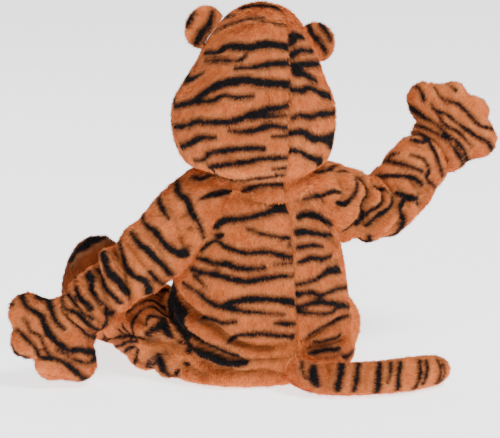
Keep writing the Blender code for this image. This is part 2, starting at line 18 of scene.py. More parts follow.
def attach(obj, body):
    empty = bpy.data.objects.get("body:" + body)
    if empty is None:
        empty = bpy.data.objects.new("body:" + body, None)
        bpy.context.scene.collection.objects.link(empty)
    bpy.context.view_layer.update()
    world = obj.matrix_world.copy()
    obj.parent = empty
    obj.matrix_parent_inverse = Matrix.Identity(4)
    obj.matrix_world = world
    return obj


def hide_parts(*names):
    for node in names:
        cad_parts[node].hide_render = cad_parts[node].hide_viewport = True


bl_info = {
    "name": "Tiger costume",
    "version": (1, 0, 0),
    "blender": (4, 5, 0),
    "location": "3D View > Sidebar > Tiger costume",
    "description": "Dresses the packed tiger costume in striped plush",
    "category": "Object",
}

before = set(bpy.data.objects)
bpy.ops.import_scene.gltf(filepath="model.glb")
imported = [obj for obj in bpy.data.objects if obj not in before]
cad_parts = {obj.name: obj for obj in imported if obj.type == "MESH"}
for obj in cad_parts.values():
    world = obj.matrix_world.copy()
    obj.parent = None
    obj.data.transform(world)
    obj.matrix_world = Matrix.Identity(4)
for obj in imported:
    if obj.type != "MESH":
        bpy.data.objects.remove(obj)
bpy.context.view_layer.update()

MM = 0.001
FLOOR = -0.240
BODY = "root"


def place(point):
    """A point of the tables, in metres in the part's frame."""
    x, y, height = point
    return np.array((x * MM, y * MM, height * MM + FLOOR))


def unit(vectors):
    """The same vectors with length 1."""
    length = np.linalg.norm(vectors, axis=-1, keepdims=True)
    return vectors / np.maximum(length, 1e-12)


# Centre lines that the rows of a skin stand round
HOOD_LINE = ((4.0, -2.0, 404.0), (4.0, -2.0, 216.0))
BODY_LINE = ((4.0, 0.0, 252.0), (4.0, 0.0, 44.0))
LEFT_SLEEVE_LINE = (
    (30.0, 5.0, 222.0), (66.0, 4.0, 215.0), (101.0, 2.0, 195.0), (132.0, 0.0, 170.0), (164.0, -5.0, 145.0),
    (190.0, -10.0, 124.0), (212.0, -14.0, 104.0), (228.0, -17.0, 90.0), (240.0, -19.0, 80.0),
)
RIGHT_SLEEVE_LINE = (
    (-26.0, 5.0, 219.0), (-62.0, 4.0, 215.0), (-98.0, 3.0, 207.0),
    (-132.0, 2.0, 196.0), (-164.0, 0.0, 197.0),
    (-189.0, -2.0, 214.0), (-209.0, -4.0, 236.0), (-229.0, -6.0, 257.0), (-239.0, -7.0, 269.0),
)
LEFT_LEG_LINE = (
    (58.0, 20.0, 48.0), (72.0, 8.0, 47.0), (100.0, -14.0, 44.0),
    (110.0, -70.0, 44.0), (112.0, -118.0, 42.0),
    (121.0, -164.0, 41.0), (135.0, -200.0, 43.0), (143.0, -220.0, 48.0), (146.0, -232.0, 53.0),
)
TAIL_LINE = (
    (-8.0, 104.0, 28.0), (-14.0, 123.0, 24.0), (-26.0, 136.0, 21.5), (-58.0, 150.0, 21.0),
    (-100.0, 158.0, 21.0), (-142.0, 156.0, 21.0), (-167.0, 152.5, 21.0),
)
RIGHT_LEG_SPREAD = 0.82


def mirrored(line):
    """A leg's line for the other side."""
    return tuple((4.0 - (x - 4.0) * RIGHT_LEG_SPREAD, y, height) for x, y, height in line)


def smooth_line(points, step):
    """Points every step along a smooth curve through the given points, with their distances."""
    given = [np.array(p, float) for p in points]
    ends = [2 * given[0] - given[1], *given, 2 * given[-1] - given[-2]]
    fine = []
    for p0, p1, p2, p3 in zip(ends, ends[1:], ends[2:], ends[3:]):
        for t in np.linspace(0.0, 1.0, 24, endpoint=False):
            bend = 2.0 * p0 - 5.0 * p1 + 4.0 * p2 - p3
            turn = 3.0 * p1 - p0 - 3.0 * p2 + p3
            fine.append(0.5 * (2.0 * p1 + (p2 - p0) * t + bend * t * t + turn * t**3))
    fine.append(given[-1])
    fine = np.array(fine)
    along = np.concatenate(([0.0], np.cumsum(np.linalg.norm(np.diff(fine, axis=0), axis=1))))
    count = max(2, int(round(along[-1] / step)) + 1)
    wanted = np.linspace(0.0, along[-1], count)
    found = np.stack([np.interp(wanted, along, fine[:, k]) for k in range(fine.shape[1])], axis=1)
    return found, wanted


class Cloth:
    """Points with their normals, nap and chart places, and the faces between them."""

    def __init__(self, points, normals, nap, chart, scale, quads, crease_shade):
        self.points = points
        self.normals = normals
        self.nap = nap
        self.chart = chart
        self.scale = scale
        self.quads = quads
        # Painted shade at each point near creases and seams, from 0 to 1
        self.crease_shade = crease_shade


class Wrap:
    """A grid laid on the outside of some solids, by rays that look back at a centre line."""

    def __init__(
        self, nodes, line, toward, step, columns, far,
        caps=(0.0, 0.0), mark=(0.0, 1.0), span=None,
    ):
        self.nodes = nodes
        self.columns = columns
        self.opening = None
        centres, along = smooth_line([place(p) for p in line], step * MM)
        tangents = unit(np.gradient(centres, axis=0))
        rows = []
        cap_start, cap_end = caps
        if cap_start:
            count = int(round(cap_start * math.pi / 2.0 / step))
            for k in range(count):
                tilt = -math.pi / 2.0 * (1.0 - k / count)
                rows.append((centres[0], tangents[0], tilt, tilt * cap_start))
        for centre, tangent, distance in zip(centres, tangents, along):
            rows.append((centre, tangent, 0.0, distance / MM))
        if cap_end:
            count = int(round(cap_end * math.pi / 2.0 / step))
            for k in range(1, count + 1):
                tilt = math.pi / 2.0 * k / count
                rows.append((centres[-1], tangents[-1], tilt, along[-1] / MM + tilt * cap_end))
        self.centres = np.array([r[0] for r in rows])
        self.tangents = np.array([r[1] for r in rows])
        self.tilts = np.array([r[2] for r in rows])
        self.marks = mark[0] + mark[1] * np.array([r[3] for r in rows])
        reference = np.broadcast_to(np.array(toward, float), self.tangents.shape)
        overlap = np.sum(reference * self.tangents, axis=1, keepdims=True)
        self.toward = unit(reference - overlap * self.tangents)
        self.side = np.cross(self.tangents, self.toward)
        if span:
            self.angles = np.linspace(span[0], span[1], columns)
        else:
            self.angles = np.linspace(0.0, 360.0, columns, endpoint=False)
        self.cast(far * MM)

    def directions(self):
        turn = np.radians(self.angles)
        around = (
            np.cos(turn)[None, :, None] * self.toward[:, None, :]
            + np.sin(turn)[None, :, None] * self.side[:, None, :]
        )
        tilt = self.tilts[:, None, None]
        return np.cos(tilt) * around + np.sin(tilt) * self.tangents[:, None, :]

    def cast(self, far):
        """Looks for the solids from outside, and keeps how far from the line each ray lands."""
        tree, owners = joined_tree(self.nodes)
        ways = self.directions()
        rows, columns = ways.shape[:2]
        self.reach = np.full((rows, columns), np.nan)
        self.owner = np.full((rows, columns), -1)
        for i in range(rows):
            centre = Vector(self.centres[i])
            for j in range(columns):
                way = Vector(ways[i, j])
                hit = tree.ray_cast(centre + way * far, -way, far)
                if hit[0] is not None:
                    self.reach[i, j] = far - hit[3]
                    self.owner[i, j] = owners[hit[2]]
        self.ways = ways
        self.crease_shade = np.zeros_like(self.reach)

    def extend(self, laps):
        """Lets the skin run on a little past its edges, under what it is sewn to."""
        for _ in range(laps):
            total = np.zeros_like(self.reach)
            count = np.zeros_like(self.reach)
            owner = self.owner.copy()
            for di, dj in ((1, 0), (-1, 0), (0, 1), (0, -1)):
                moved = shifted(self.reach, di, dj)
                moved_owner = shifted(self.owner, di, dj)
                known = ~np.isnan(moved)
                total[known] += moved[known]
                count[known] += 1
                fresh = known & (owner < 0)
                owner[fresh] = moved_owner[fresh]
            fill = np.isnan(self.reach) & (count > 0)
            self.reach[fill] = total[fill] / count[fill]
            self.owner = owner

    def blur(self, passes):
        """Rounds off the flat faces of the solids."""
        for _ in range(passes):
            total = np.zeros_like(self.reach)
            weight = np.zeros_like(self.reach)
            for di, dj, share in ((0, 0, 4.0), (1, 0, 1.0), (-1, 0, 1.0), (0, 1, 1.0), (0, -1, 1.0)):
                moved = shifted(self.reach, di, dj)
                known = ~np.isnan(moved)
                total[known] += share * moved[known]
                weight[known] += share
            known = ~np.isnan(self.reach)
            self.reach[known] = total[known] / weight[known]

    def chart(self):
        """Each grid point's angle and mark, and how many millimetres a degree is in its row."""
        scale = np.nanmean(self.reach, axis=1) * np.cos(self.tilts) / MM
        scale = np.where(np.isnan(scale), 1.0, scale) * math.pi / 180.0
        angles = np.broadcast_to(self.angles, self.reach.shape)
        marks = np.broadcast_to(self.marks[:, None], self.reach.shape)
        return angles, marks, np.broadcast_to(scale[:, None], self.reach.shape)

    def crease(self, creases):
        """Presses the given creases into the skin, and raises ridges where the depth is negative."""
        angles, marks, scale = self.chart()
        for depth, width, points in creases:
            distance, share = stroke_distance(points, angles.ravel(), marks.ravel(), scale.ravel())
            ends = fade(share)
            line = np.exp(-np.abs(distance) / (0.45 * width)) * ends
            valley = np.exp(-((distance / width) ** 2)) * ends
            hollow = 0.6 * valley + 0.4 * line
            self.reach -= depth * MM * hollow.reshape(self.reach.shape)
            if depth > 0.0:
                # Painted shade in the crease: pile and skin are drawn darker near its line, more so for
                # deeper creases
                dark = 0.65 * np.exp(-np.abs(distance) / FOLD_SHADE)
                dark = dark + 0.4 * np.exp(-((distance / width) ** 2))
                dark = dark * ends * min(depth / 6.0, 1.0)
                self.crease_shade = np.maximum(self.crease_shade, dark.reshape(self.reach.shape))

    def cloth(self, inset, nap=None):
        """The skin as points and faces, with a last column that repeats the first."""
        points = self.centres[:, None, :] + self.ways * (self.reach - inset * MM)[..., None]
        rows, columns = self.reach.shape
        if self.opening:
            self.hem(points)
        points[..., 2] = np.maximum(points[..., 2], FLOOR + inset * MM)
        index = np.arange(rows * columns).reshape(rows, columns)
        after = np.roll(index, -1, axis=1)
        quads = np.stack(
            (index[:-1], after[:-1], after[1:], index[1:]), axis=-1
        ).reshape(-1, 4)
        flat = points.reshape(-1, 3)
        whole = ~np.isnan(flat[quads]).any(axis=(1, 2))
        quads = quads[whole]
        normals = point_normals(flat, quads)
        if nap is None:
            lie = np.gradient(points, axis=0)
            lie = np.where(np.isnan(lie), self.tangents[:, None, :], lie).reshape(-1, 3)
        else:
            lie = np.broadcast_to(np.array(nap, float), flat.shape)
        lie = unit(lie - np.sum(lie * normals, axis=1, keepdims=True) * normals)
        angles, marks, scale = self.chart()
        chart = np.stack((angles.ravel(), marks.ravel()), axis=1)
        self.owner_of = self.owner.ravel()
        return Cloth(flat, normals, lie, chart, scale.ravel(), quads, self.crease_shade.ravel())


    def hem(self, points):
        """Ends the skin on the clean edge of the face opening."""
        middle_x, middle_z, half_width, half_height = self.opening
        total = np.zeros_like(points)
        count = np.zeros(points.shape[:2])
        for di, dj in ((1, 0), (-1, 0), (0, 1), (0, -1)):
            moved = np.roll(points, (di, dj), axis=(0, 1))
            known = ~np.isnan(moved[..., 0])
            total[known] += moved[known]
            count[known] += 1
        edge = np.isnan(points[..., 0]) & (count > 0)
        around = total[edge] / count[edge][:, None]
        across = (around[:, 0] - middle_x) / half_width
        upward = (around[:, 2] - middle_z) / half_height
        share = 1.0 / np.maximum(np.hypot(across, upward), 1e-6)
        facing = (around[:, 1] < 0.0) & (share > 0.8) & (share < 1.25)
        around[:, 0] = middle_x + across * share * half_width
        around[:, 2] = middle_z + upward * share * half_height
        rows, columns = np.nonzero(edge)
        points[rows[facing], columns[facing]] = around[facing]
        owner = self.owner
        for di, dj in ((1, 0), (-1, 0), (0, 1), (0, -1)):
            moved = np.roll(self.owner, (di, dj), axis=(0, 1))
            fresh = edge & (owner < 0) & (moved >= 0)
            owner = np.where(fresh, moved, owner)
        self.owner = owner


def shifted(values, rows, columns):
    """The grid moved by one cell: round the columns, and with nothing past the first and last rows."""
    moved = np.roll(values, columns, axis=1)
    if rows:
        moved = np.roll(moved, rows, axis=0)
        edge = 0 if rows > 0 else -1
        moved[edge] = -1 if moved.dtype.kind == "i" else np.nan
    return moved


def joined_tree(nodes):
    """One search tree over several nodes, and which node each of its faces belongs to."""
    corners, faces, owners = [], [], []
    for number, name in enumerate(nodes):
        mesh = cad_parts[name].data
        start = len(corners)
        corners.extend(v.co.copy() for v in mesh.vertices)
        for polygon in mesh.polygons:
            faces.append([start + v for v in polygon.vertices])
            owners.append(number)
    return BVHTree.FromPolygons(corners, faces), owners


def point_normals(points, quads):
    """Outward normals at the points, from the faces round them."""
    a, b, c, d = (points[quads[:, k]] for k in range(4))
    facing = np.cross(c - a, d - b)
    normals = np.zeros_like(points)
    for k in range(4):
        np.add.at(normals, quads[:, k], facing)
    return unit(normals)


# Noise that is the same in every run


def lattice(cells, seed):
    """A fixed random number between 0 and 1 for each whole-numbered place."""
    mixed = cells[..., 0] * 73856093 ^ cells[..., 1] * 19349663 ^ cells[..., 2] * 83492791 ^ seed * 2654435
    mixed = (mixed ^ (mixed >> 13)) * 1274126177
    mixed = mixed ^ (mixed >> 16)
    return (mixed & 0xFFFFF) / float(0xFFFFF)


def drift(points, size, seed):
    """Smooth noise from -1 to 1 with patches of about the given size in metres."""
    scaled = points / size
    low = np.floor(scaled).astype(np.int64)
    part = scaled - low
    part = part * part * (3.0 - 2.0 * part)
    total = np.zeros(len(points))
    for dx in (0, 1):
        for dy in (0, 1):
            for dz in (0, 1):
                weight = (
                    np.abs(1 - dx - part[:, 0]) * np.abs(1 - dy - part[:, 1]) * np.abs(1 - dz - part[:, 2])
                )
                total += weight * lattice(low + np.array((dx, dy, dz)), seed)
    return total * 2.0 - 1.0


# Strokes: charted lines for stripes and creases

BLEED = 1.1
# How quickly the painted shade of a crease fades away from its line, in millimetres
FOLD_SHADE = 2.4


def fade(share):
    """How strong a crease is along its length: full in the middle, run out at its ends."""
    return np.clip(np.sin(np.clip(share, 0.0, 1.0) * math.pi) * 1.8, 0.0, 1.0)


def stroke_points(points, scale):
    """A stroke as chart places about 3 mm apart, with the share of its length at each."""
    fine, along = smooth_line([(a * scale, b) for a, b in points], 3.0)
    fine[:, 0] /= scale
    return fine, along / max(along[-1], 1e-6)


def stroke_distance(points, angles, marks, scale):
    """How far places lie from a stroke, in millimetres, and the share of its length beside them."""
    reach = 30.0
    lowest = min(b for a, b in points) - reach
    highest = max(b for a, b in points) + reach
    distance = np.full(len(angles), 1e3)
    share = np.zeros(len(angles))
    rows = np.nonzero((marks > lowest) & (marks < highest))[0]
    if not len(rows):
        return distance, share
    fine, shares = stroke_points(points, np.median(scale[rows]))
    centre = (fine[:, 0].min() + fine[:, 0].max()) / 2.0
    around = (angles[rows] - centre + 180.0) % 360.0 - 180.0 + centre
    spread = np.maximum(fine[:, 0].min() - around, around - fine[:, 0].max()) * scale[rows]
    rows, around = rows[spread < reach], around[spread < reach]
    for start in range(0, len(rows), 20000):
        chosen = rows[start : start + 20000]
        across = (around[start : start + 20000, None] - fine[None, :, 0]) * scale[chosen, None]
        gap = across**2 + (marks[chosen, None] - fine[None, :, 1]) ** 2
        best = np.argmin(gap, axis=1)
        distance[chosen] = np.sqrt(gap[np.arange(len(chosen)), best])
        share[chosen] = shares[best]
    return distance, share


def stripe_depth(strokes, angles, marks, scale):
    """How deep places lie inside the nearest stripe, in millimetres, negative outside it."""
    deepest = np.full(len(angles), -50.0)
    for start, middle, end, points in strokes:
        distance, share = stroke_distance(points, angles, marks, scale)
        width = np.interp(share, (0.0, 0.5, 1.0), (start, middle, end))
        deepest = np.maximum(deepest, width / 2.0 + BLEED - distance)
    return deepest


def mark_colours(points, depths, rng, ragged):
    """Stripe, fringe and tone of each place, once for each row of depths."""
    count = len(points)
    wobble = drift(points, 0.009, 11) * 0.9 + drift(points, 0.003, 12) * 0.35
    wobble = wobble + rng.normal(0.0, ragged, count)
    tone = 0.48 + 0.20 * drift(points, 0.030, 21) + 0.20 * drift(points, 0.007, 22)
    tone = np.clip(tone + rng.normal(0.0, 0.17, count), 0.0, 1.0)
    speckle = rng.random(count)
    rows = []
    for depth in depths:
        inside = depth + wobble
        stripe = np.clip(inside / 1.4 + 0.5, 0.0, 1.0)
        fringe = np.exp(-(((inside + 1.8) / 1.8) ** 2)) * speckle
        rows.append(np.stack((stripe, fringe, tone, np.ones(count)), axis=1))
    return np.stack(rows, axis=1).reshape(-1, 4)


# Meshes


def new_object(name, points, faces, material, smooth=True):
    mesh = bpy.data.meshes.new(name)
    mesh.from_pydata([], [], [])
    faces = np.asarray(faces)
    corners = faces.shape[1]
    mesh.vertices.add(len(points))
    mesh.vertices.foreach_set("co", points.astype(np.float32).ravel())
    mesh.loops.add(faces.size)
    mesh.loops.foreach_set("vertex_index", faces.astype(np.int32).ravel())
    mesh.polygons.add(len(faces))
    mesh.polygons.foreach_set("loop_start", np.arange(0, faces.size, corners, dtype=np.int32))
    mesh.polygons.foreach_set("use_smooth", np.full(len(faces), smooth))
    mesh.update(calc_edges=True)
    mesh.validate()
    mesh.materials.append(material)
    made = bpy.data.objects.new(name, mesh)
    bpy.context.scene.collection.objects.link(made)
    return made


def set_marks(mesh, marks, reach):
    colours = mesh.attributes.new("marks", "FLOAT_COLOR", "POINT")
    colours.data.foreach_set("color", marks.astype(np.float32).ravel())
    # reach: where along a tuft a point lies, less its crease shade, which the material turns into painted
    # shade
    heights = mesh.attributes.new("reach", "FLOAT", "POINT")
    heights.data.foreach_set("value", reach.astype(np.float32))


def set_uv(mesh, places):
    """The piece's own flat layout, one place a corner."""
    layer = mesh.uv_layers.new(name="OFBake")
    layer.data.foreach_set("uv", places.astype(np.float32).ravel())


def flat_layout(chart, scale):
    """Chart places as a layout from 0 to 1."""
    across = chart[:, 0] * np.median(scale)
    flat = np.stack((across, chart[:, 1]), axis=1)
    low = flat.min(axis=0)
    size = max((flat.max(axis=0) - low).max(), 1e-6)
    return (flat - low) / size * 0.98 + 0.01


def make_skin(name, cloth, quads, strokes, material, backing, thickness):
    """One panel: its face, a thin wall, and a plain knitted back."""
    rng = np.random.default_rng(7)
    used, faces = np.unique(quads, return_inverse=True)
    faces = faces.reshape(quads.shape)
    points = cloth.points[used]
    chart = cloth.chart[used]
    scale = cloth.scale[used]
    skin = new_object(name, points, faces, material)
    depth = stripe_depth(strokes, chart[:, 0], chart[:, 1], scale)
    # Painted shade: the skin is drawn as dark as the tufts' roots, and darker in creases and seams
    set_marks(skin.data, mark_colours(points, (depth,), rng, 0.1), 0.2 - 1.2 * cloth.crease_shade[used])
    layout = flat_layout(chart, scale)[faces]
    turned = layout[:, :, 0].max(axis=1) - layout[:, :, 0].min(axis=1) > 0.5
    low_side = layout[:, :, 0] < 0.5
    layout[:, :, 0] = np.where(turned[:, None] & low_side, 0.99, layout[:, :, 0])
    layout[:, :, 0] *= 0.5
    set_uv(skin.data, layout.reshape(-1, 2))
    if backing:
        skin.data.materials.append(backing)
        give_wall(skin, thickness)
    return skin


def give_wall(skin, thickness):
    bpy.ops.object.select_all(action="DESELECT")
    skin.select_set(True)
    bpy.context.view_layer.objects.active = skin
    wall = skin.modifiers.new("wall", "SOLIDIFY")
    wall.thickness = thickness * MM
    wall.offset = -1.0
    wall.material_offset = 1
    wall.material_offset_rim = 0
    bpy.ops.object.modifier_apply(modifier=wall.name)
    mesh = skin.data
    layer = mesh.uv_layers["OFBake"]
    places = np.zeros(len(mesh.loops) * 2, np.float32)
    layer.data.foreach_get("uv", places)
    places = places.reshape(-1, 2)
    slots = np.zeros(len(mesh.polygons), np.int32)
    mesh.polygons.foreach_get("material_index", slots)
    totals = np.zeros(len(mesh.polygons), np.int32)
    mesh.polygons.foreach_get("loop_total", totals)
    inner = np.repeat(slots == 1, totals)
    places[inner, 0] += 0.5
    layer.data.foreach_set("uv", places.ravel())


def chart_shift(cloth, chosen, known, moves):
    """How much values known at the chosen faces' corners change along the given moves."""
    origin = cloth.points[chosen[:, 0]]
    first = cloth.points[chosen[:, 1]] - origin
    second = cloth.points[chosen[:, 3]] - origin
    aa, ab, bb = (np.sum(u * v, axis=1) for u, v in ((first, first), (first, second), (second, second)))
    am, bm = np.sum(first * moves, axis=1), np.sum(second * moves, axis=1)
    size = np.maximum(aa * bb - ab**2, 1e-14)
    share_a = np.clip((bb * am - ab * bm) / size, -4.0, 4.0)[:, None]
    share_b = np.clip((aa * bm - ab * am) / size, -4.0, 4.0)[:, None]
    return share_a * (known[:, 1] - known[:, 0]) + share_b * (known[:, 3] - known[:, 0])


def make_pile(name, cloth, quads, strokes, material, density, length, lean, width, seed):
    """The pile of one panel: tapered tufts that lie down along the nap."""
    rng = np.random.default_rng(seed)
    corner = cloth.points[quads]
    area = np.linalg.norm(np.cross(corner[:, 2] - corner[:, 0], corner[:, 3] - corner[:, 1]), axis=1) / 2.0
    running = np.cumsum(area)
    total = int(running[-1] / MM**2 * density)
    picks = (np.arange(total) + rng.random(total)) * running[-1] / total
    chosen = quads[np.minimum(np.searchsorted(running, picks), len(quads) - 1)]
    u = rng.random(total)[:, None]
    v = rng.random(total)[:, None]
    shares = ((1 - u) * (1 - v), u * (1 - v), u * v, (1 - u) * v)
    root = sum(share * cloth.points[chosen[:, k]] for k, share in enumerate(shares))
    normal = unit(sum(share * cloth.normals[chosen[:, k]] for k, share in enumerate(shares)))
    nap = sum(share * cloth.nap[chosen[:, k]] for k, share in enumerate(shares))
    chart = cloth.chart[chosen]
    jump = chart[:, :, 0].max(axis=1) - chart[:, :, 0].min(axis=1) > 180.0
    low = jump[:, None] & (chart[:, :, 0] < 180.0)
    chart[:, :, 0] = np.where(low, chart[:, :, 0] + 360.0, chart[:, :, 0])
    place_on = sum(share * chart[:, k] for k, share in enumerate(shares))
    scale = cloth.scale[chosen[:, 0]]
    side = unit(np.cross(normal, nap))
    lay = unit(np.cross(side, normal))
    swing = 0.55 * drift(root, 0.0045, 31) + 0.30 * drift(root, 0.015, 32) + rng.normal(0.0, 0.22, total)
    lift = np.radians(lean) + 0.30 * drift(root, 0.0045, 33) + rng.normal(0.0, 0.16, total)
    flat = np.cos(swing)[:, None] * lay + np.sin(swing)[:, None] * side
    way = np.cos(lift)[:, None] * flat + np.sin(lift)[:, None] * normal
    twist = rng.normal(0.0, 0.5, total)[:, None]
    across = unit(np.cross(way, normal))
    broad = unit(np.cos(twist) * across + np.sin(twist) * np.cross(across, way))
    # Painted crease shade at each tuft's root, which also makes the tufts shorter there
    crease_shade = sum(share[:, 0] * cloth.crease_shade[chosen[:, k]] for k, share in enumerate(shares))
    uneven = 0.8 + 0.2 * drift(root, 0.006, 34) + rng.normal(0.0, 0.12, total)
    reach = (length * MM * uneven * (1.0 - 0.55 * crease_shade))[:, None]
    known = np.concatenate((chart, cloth.crease_shade[chosen][:, :, None]), axis=2)
    shift = chart_shift(cloth, chosen, known, way * reach)
    tip_on = place_on + shift[:, :2]
    # Painted crease shade where each tuft's tip lies
    tip_crease_shade = np.clip(crease_shade + shift[:, 2], 0.0, 1.0)
    depths = [stripe_depth(strokes, place[:, 0], place[:, 1], scale) for place in (place_on, tip_on)]
    marks = mark_colours(root, (depths[0], depths[0], depths[1]), rng, 0.30)
    base = root - normal * 0.4 * MM
    half = broad * width * MM / 2.0
    points = np.stack((base - half, base + half, base + way * reach), axis=1).reshape(-1, 3)
    points[:, 2] = np.maximum(points[:, 2], FLOOR + 0.2 * MM)
    pile = new_object(name, points, np.arange(total * 3).reshape(-1, 3), material, smooth=False)
    # Painted shade: tufts drawn darker at their roots and lighter at their tips, and darker in creases and
    # seams
    ends = np.stack((-1.5 * crease_shade, -1.5 * crease_shade, 1.0 - 1.5 * tip_crease_shade), axis=1).ravel()
    set_marks(pile.data, marks, ends)
    layout = flat_layout(place_on, scale)
    step = 0.0006
    corners = np.array(((-step, 0.0), (step, 0.0), (0.0, step * 2.0)))
    set_uv(pile.data, (layout[:, None, :] + corners[None]).reshape(-1, 2))
    return pile


# Materials


def link(tree, start, end):
    tree.links.new(start, end)


def plush_group():
    """The colour of plush from its stripe, fringe and tone, darkened by painted shade towards the tufts'
    roots and in creases and seams and lightened towards their tips, built once.
    """
    found = bpy.data.node_groups.get("Plush colour")
    if found:
        return found
    group = bpy.data.node_groups.new("Plush colour", "ShaderNodeTree")
    sockets = group.interface
    for name, kind in (
        ("Stripe", "NodeSocketFloat"), ("Fringe", "NodeSocketFloat"), ("Tone", "NodeSocketFloat"),
        ("Painted shade", "NodeSocketFloat"), ("Deep pile", "NodeSocketColor"), ("Light pile", "NodeSocketColor"),
        ("Stripe colour", "NodeSocketColor"), ("Fringe colour", "NodeSocketColor"),
    ):
        sockets.new_socket(name=name, in_out="INPUT", socket_type=kind)
    sockets.new_socket(name="Color", in_out="OUTPUT", socket_type="NodeSocketColor")
    nodes = group.nodes
    given = nodes.new("NodeGroupInput")
    result = nodes.new("NodeGroupOutput")
    pile = nodes.new("ShaderNodeMix")
    pile.data_type = "RGBA"
    link(group, given.outputs["Tone"], pile.inputs["Factor"])
    link(group, given.outputs["Deep pile"], pile.inputs["A"])
    link(group, given.outputs["Light pile"], pile.inputs["B"])
    share = nodes.new("ShaderNodeMath")
    share.operation = "MULTIPLY"
    share.inputs[1].default_value = 0.75
    link(group, given.outputs["Fringe"], share.inputs[0])
    fringed = nodes.new("ShaderNodeMix")
    fringed.data_type = "RGBA"
    link(group, share.outputs[0], fringed.inputs["Factor"])
    link(group, pile.outputs["Result"], fringed.inputs["A"])
    link(group, given.outputs["Fringe colour"], fringed.inputs["B"])
    striped = nodes.new("ShaderNodeMix")
    striped.data_type = "RGBA"
    link(group, given.outputs["Stripe"], striped.inputs["Factor"])
    link(group, fringed.outputs["Result"], striped.inputs["A"])
    link(group, given.outputs["Stripe colour"], striped.inputs["B"])
    # Painted shade: darker towards the tufts' roots and in creases and seams, lighter towards their tips
    shade = nodes.new("ShaderNodeMapRange")
    shade.clamp = False
    shade.inputs["From Min"].default_value = 0.0
    shade.inputs["To Min"].default_value = 0.70
    shade.inputs["To Max"].default_value = 1.16
    link(group, given.outputs["Painted shade"], shade.inputs["Value"])
    shaded = nodes.new("ShaderNodeVectorMath")
    shaded.operation = "SCALE"
    link(group, striped.outputs["Result"], shaded.inputs[0])
    link(group, shade.outputs["Result"], shaded.inputs["Scale"])
    link(group, shaded.outputs[0], result.inputs["Color"])
    return group


def plush_material(name, deep, light, stripe, fringe, bumpy=False):
    """Striped plush: tufts, or the skin under them."""
    material = bpy.data.materials.get(name)
    if material:
        return material
    material = bpy.data.materials.new(name)
    material.use_nodes = True
    tree = material.node_tree
    shader = tree.nodes["Principled BSDF"]
    marks = tree.nodes.new("ShaderNodeAttribute")
    marks.attribute_name = "marks"
    # The reach attribute carries the painted shade of roots, tips, creases and seams
    reach = tree.nodes.new("ShaderNodeAttribute")
    reach.attribute_name = "reach"
    parts = tree.nodes.new("ShaderNodeSeparateColor")
    colour = tree.nodes.new("ShaderNodeGroup")
    colour.node_tree = plush_group()
    link(tree, marks.outputs["Color"], parts.inputs["Color"])
    link(tree, parts.outputs["Red"], colour.inputs["Stripe"])
    link(tree, parts.outputs["Green"], colour.inputs["Fringe"])
    link(tree, parts.outputs["Blue"], colour.inputs["Tone"])
    link(tree, reach.outputs["Fac"], colour.inputs["Painted shade"])
    colour.inputs["Deep pile"].default_value = (*deep, 1.0)
    colour.inputs["Light pile"].default_value = (*light, 1.0)
    colour.inputs["Stripe colour"].default_value = (*stripe, 1.0)
    colour.inputs["Fringe colour"].default_value = (*fringe, 1.0)
    link(tree, colour.outputs["Color"], shader.inputs["Base Color"])
    shader.inputs["Roughness"].default_value = 0.85
    shader.inputs["Specular IOR Level"].default_value = 0.12
    shader.inputs["Sheen Weight"].default_value = 0.10
    shader.inputs["Sheen Roughness"].default_value = 0.45
    shader.inputs["Sheen Tint"].default_value = (1.0, 0.78, 0.62, 1.0)
    if bumpy:
        grain = tree.nodes.new("ShaderNodeTexNoise")
        grain.inputs["Scale"].default_value = 420.0
        grain.inputs["Detail"].default_value = 3.0
        place_on = tree.nodes.new("ShaderNodeTexCoord")
        bump = tree.nodes.new("ShaderNodeBump")
        bump.inputs["Strength"].default_value = 0.6
        bump.inputs["Distance"].default_value = 0.0015
        link(tree, place_on.outputs["Object"], grain.inputs["Vector"])
        link(tree, grain.outputs["Fac"], bump.inputs["Height"])
        link(tree, bump.outputs["Normal"], shader.inputs["Normal"])
    return material


def backing_material(colour):
    """The plain knitted back of the plush, which shows inside the hood."""
    material = bpy.data.materials.get("knitted_back")
    if material:
        return material
    material = bpy.data.materials.new("knitted_back")
    material.use_nodes = True
    tree = material.node_tree
    shader = tree.nodes["Principled BSDF"]
    place_on = tree.nodes.new("ShaderNodeTexCoord")
    ribs = tree.nodes.new("ShaderNodeTexWave")
    ribs.inputs["Scale"].default_value = 190.0
    ribs.inputs["Distortion"].default_value = 1.2
    mottle = tree.nodes.new("ShaderNodeTexNoise")
    mottle.inputs["Scale"].default_value = 60.0
    blend = tree.nodes.new("ShaderNodeMix")
    blend.data_type = "RGBA"
    blend.inputs["A"].default_value = (*(0.72 * c for c in colour), 1.0)
    blend.inputs["B"].default_value = (*colour, 1.0)
    bump = tree.nodes.new("ShaderNodeBump")
    bump.inputs["Strength"].default_value = 0.4
    bump.inputs["Distance"].default_value = 0.0006
    link(tree, place_on.outputs["Object"], ribs.inputs["Vector"])
    link(tree, place_on.outputs["Object"], mottle.inputs["Vector"])
    link(tree, mottle.outputs["Fac"], blend.inputs["Factor"])
    link(tree, blend.outputs["Result"], shader.inputs["Base Color"])
    link(tree, ribs.outputs["Fac"], bump.inputs["Height"])
    link(tree, bump.outputs["Normal"], shader.inputs["Normal"])
    shader.inputs["Roughness"].default_value = 0.9
    shader.inputs["Sheen Weight"].default_value = 0.15
    return material


def stage_material(colour):
    material = bpy.data.materials.new("studio_floor")
    material.use_nodes = True
    shader = material.node_tree.nodes["Principled BSDF"]
    shader.inputs["Base Color"].default_value = (*colour, 1.0)
    shader.inputs["Roughness"].default_value = 0.9
    shader.inputs["Specular IOR Level"].default_value = 0.1
    shader.inputs["Emission Color"].default_value = (1.0, 1.0, 1.0, 1.0)
    shader.inputs["Emission Strength"].default_value = 1.9
    return material


def colour_setting(name, description, default):
    return bpy.props.FloatVectorProperty(
        name=name, description=description, subtype="COLOR", size=3, min=0.0, max=1.0, default=default
    )


def length_setting(name, description, default):
    return bpy.props.FloatProperty(
        name=name, description=description, unit="LENGTH", subtype="DISTANCE", default=default
    )


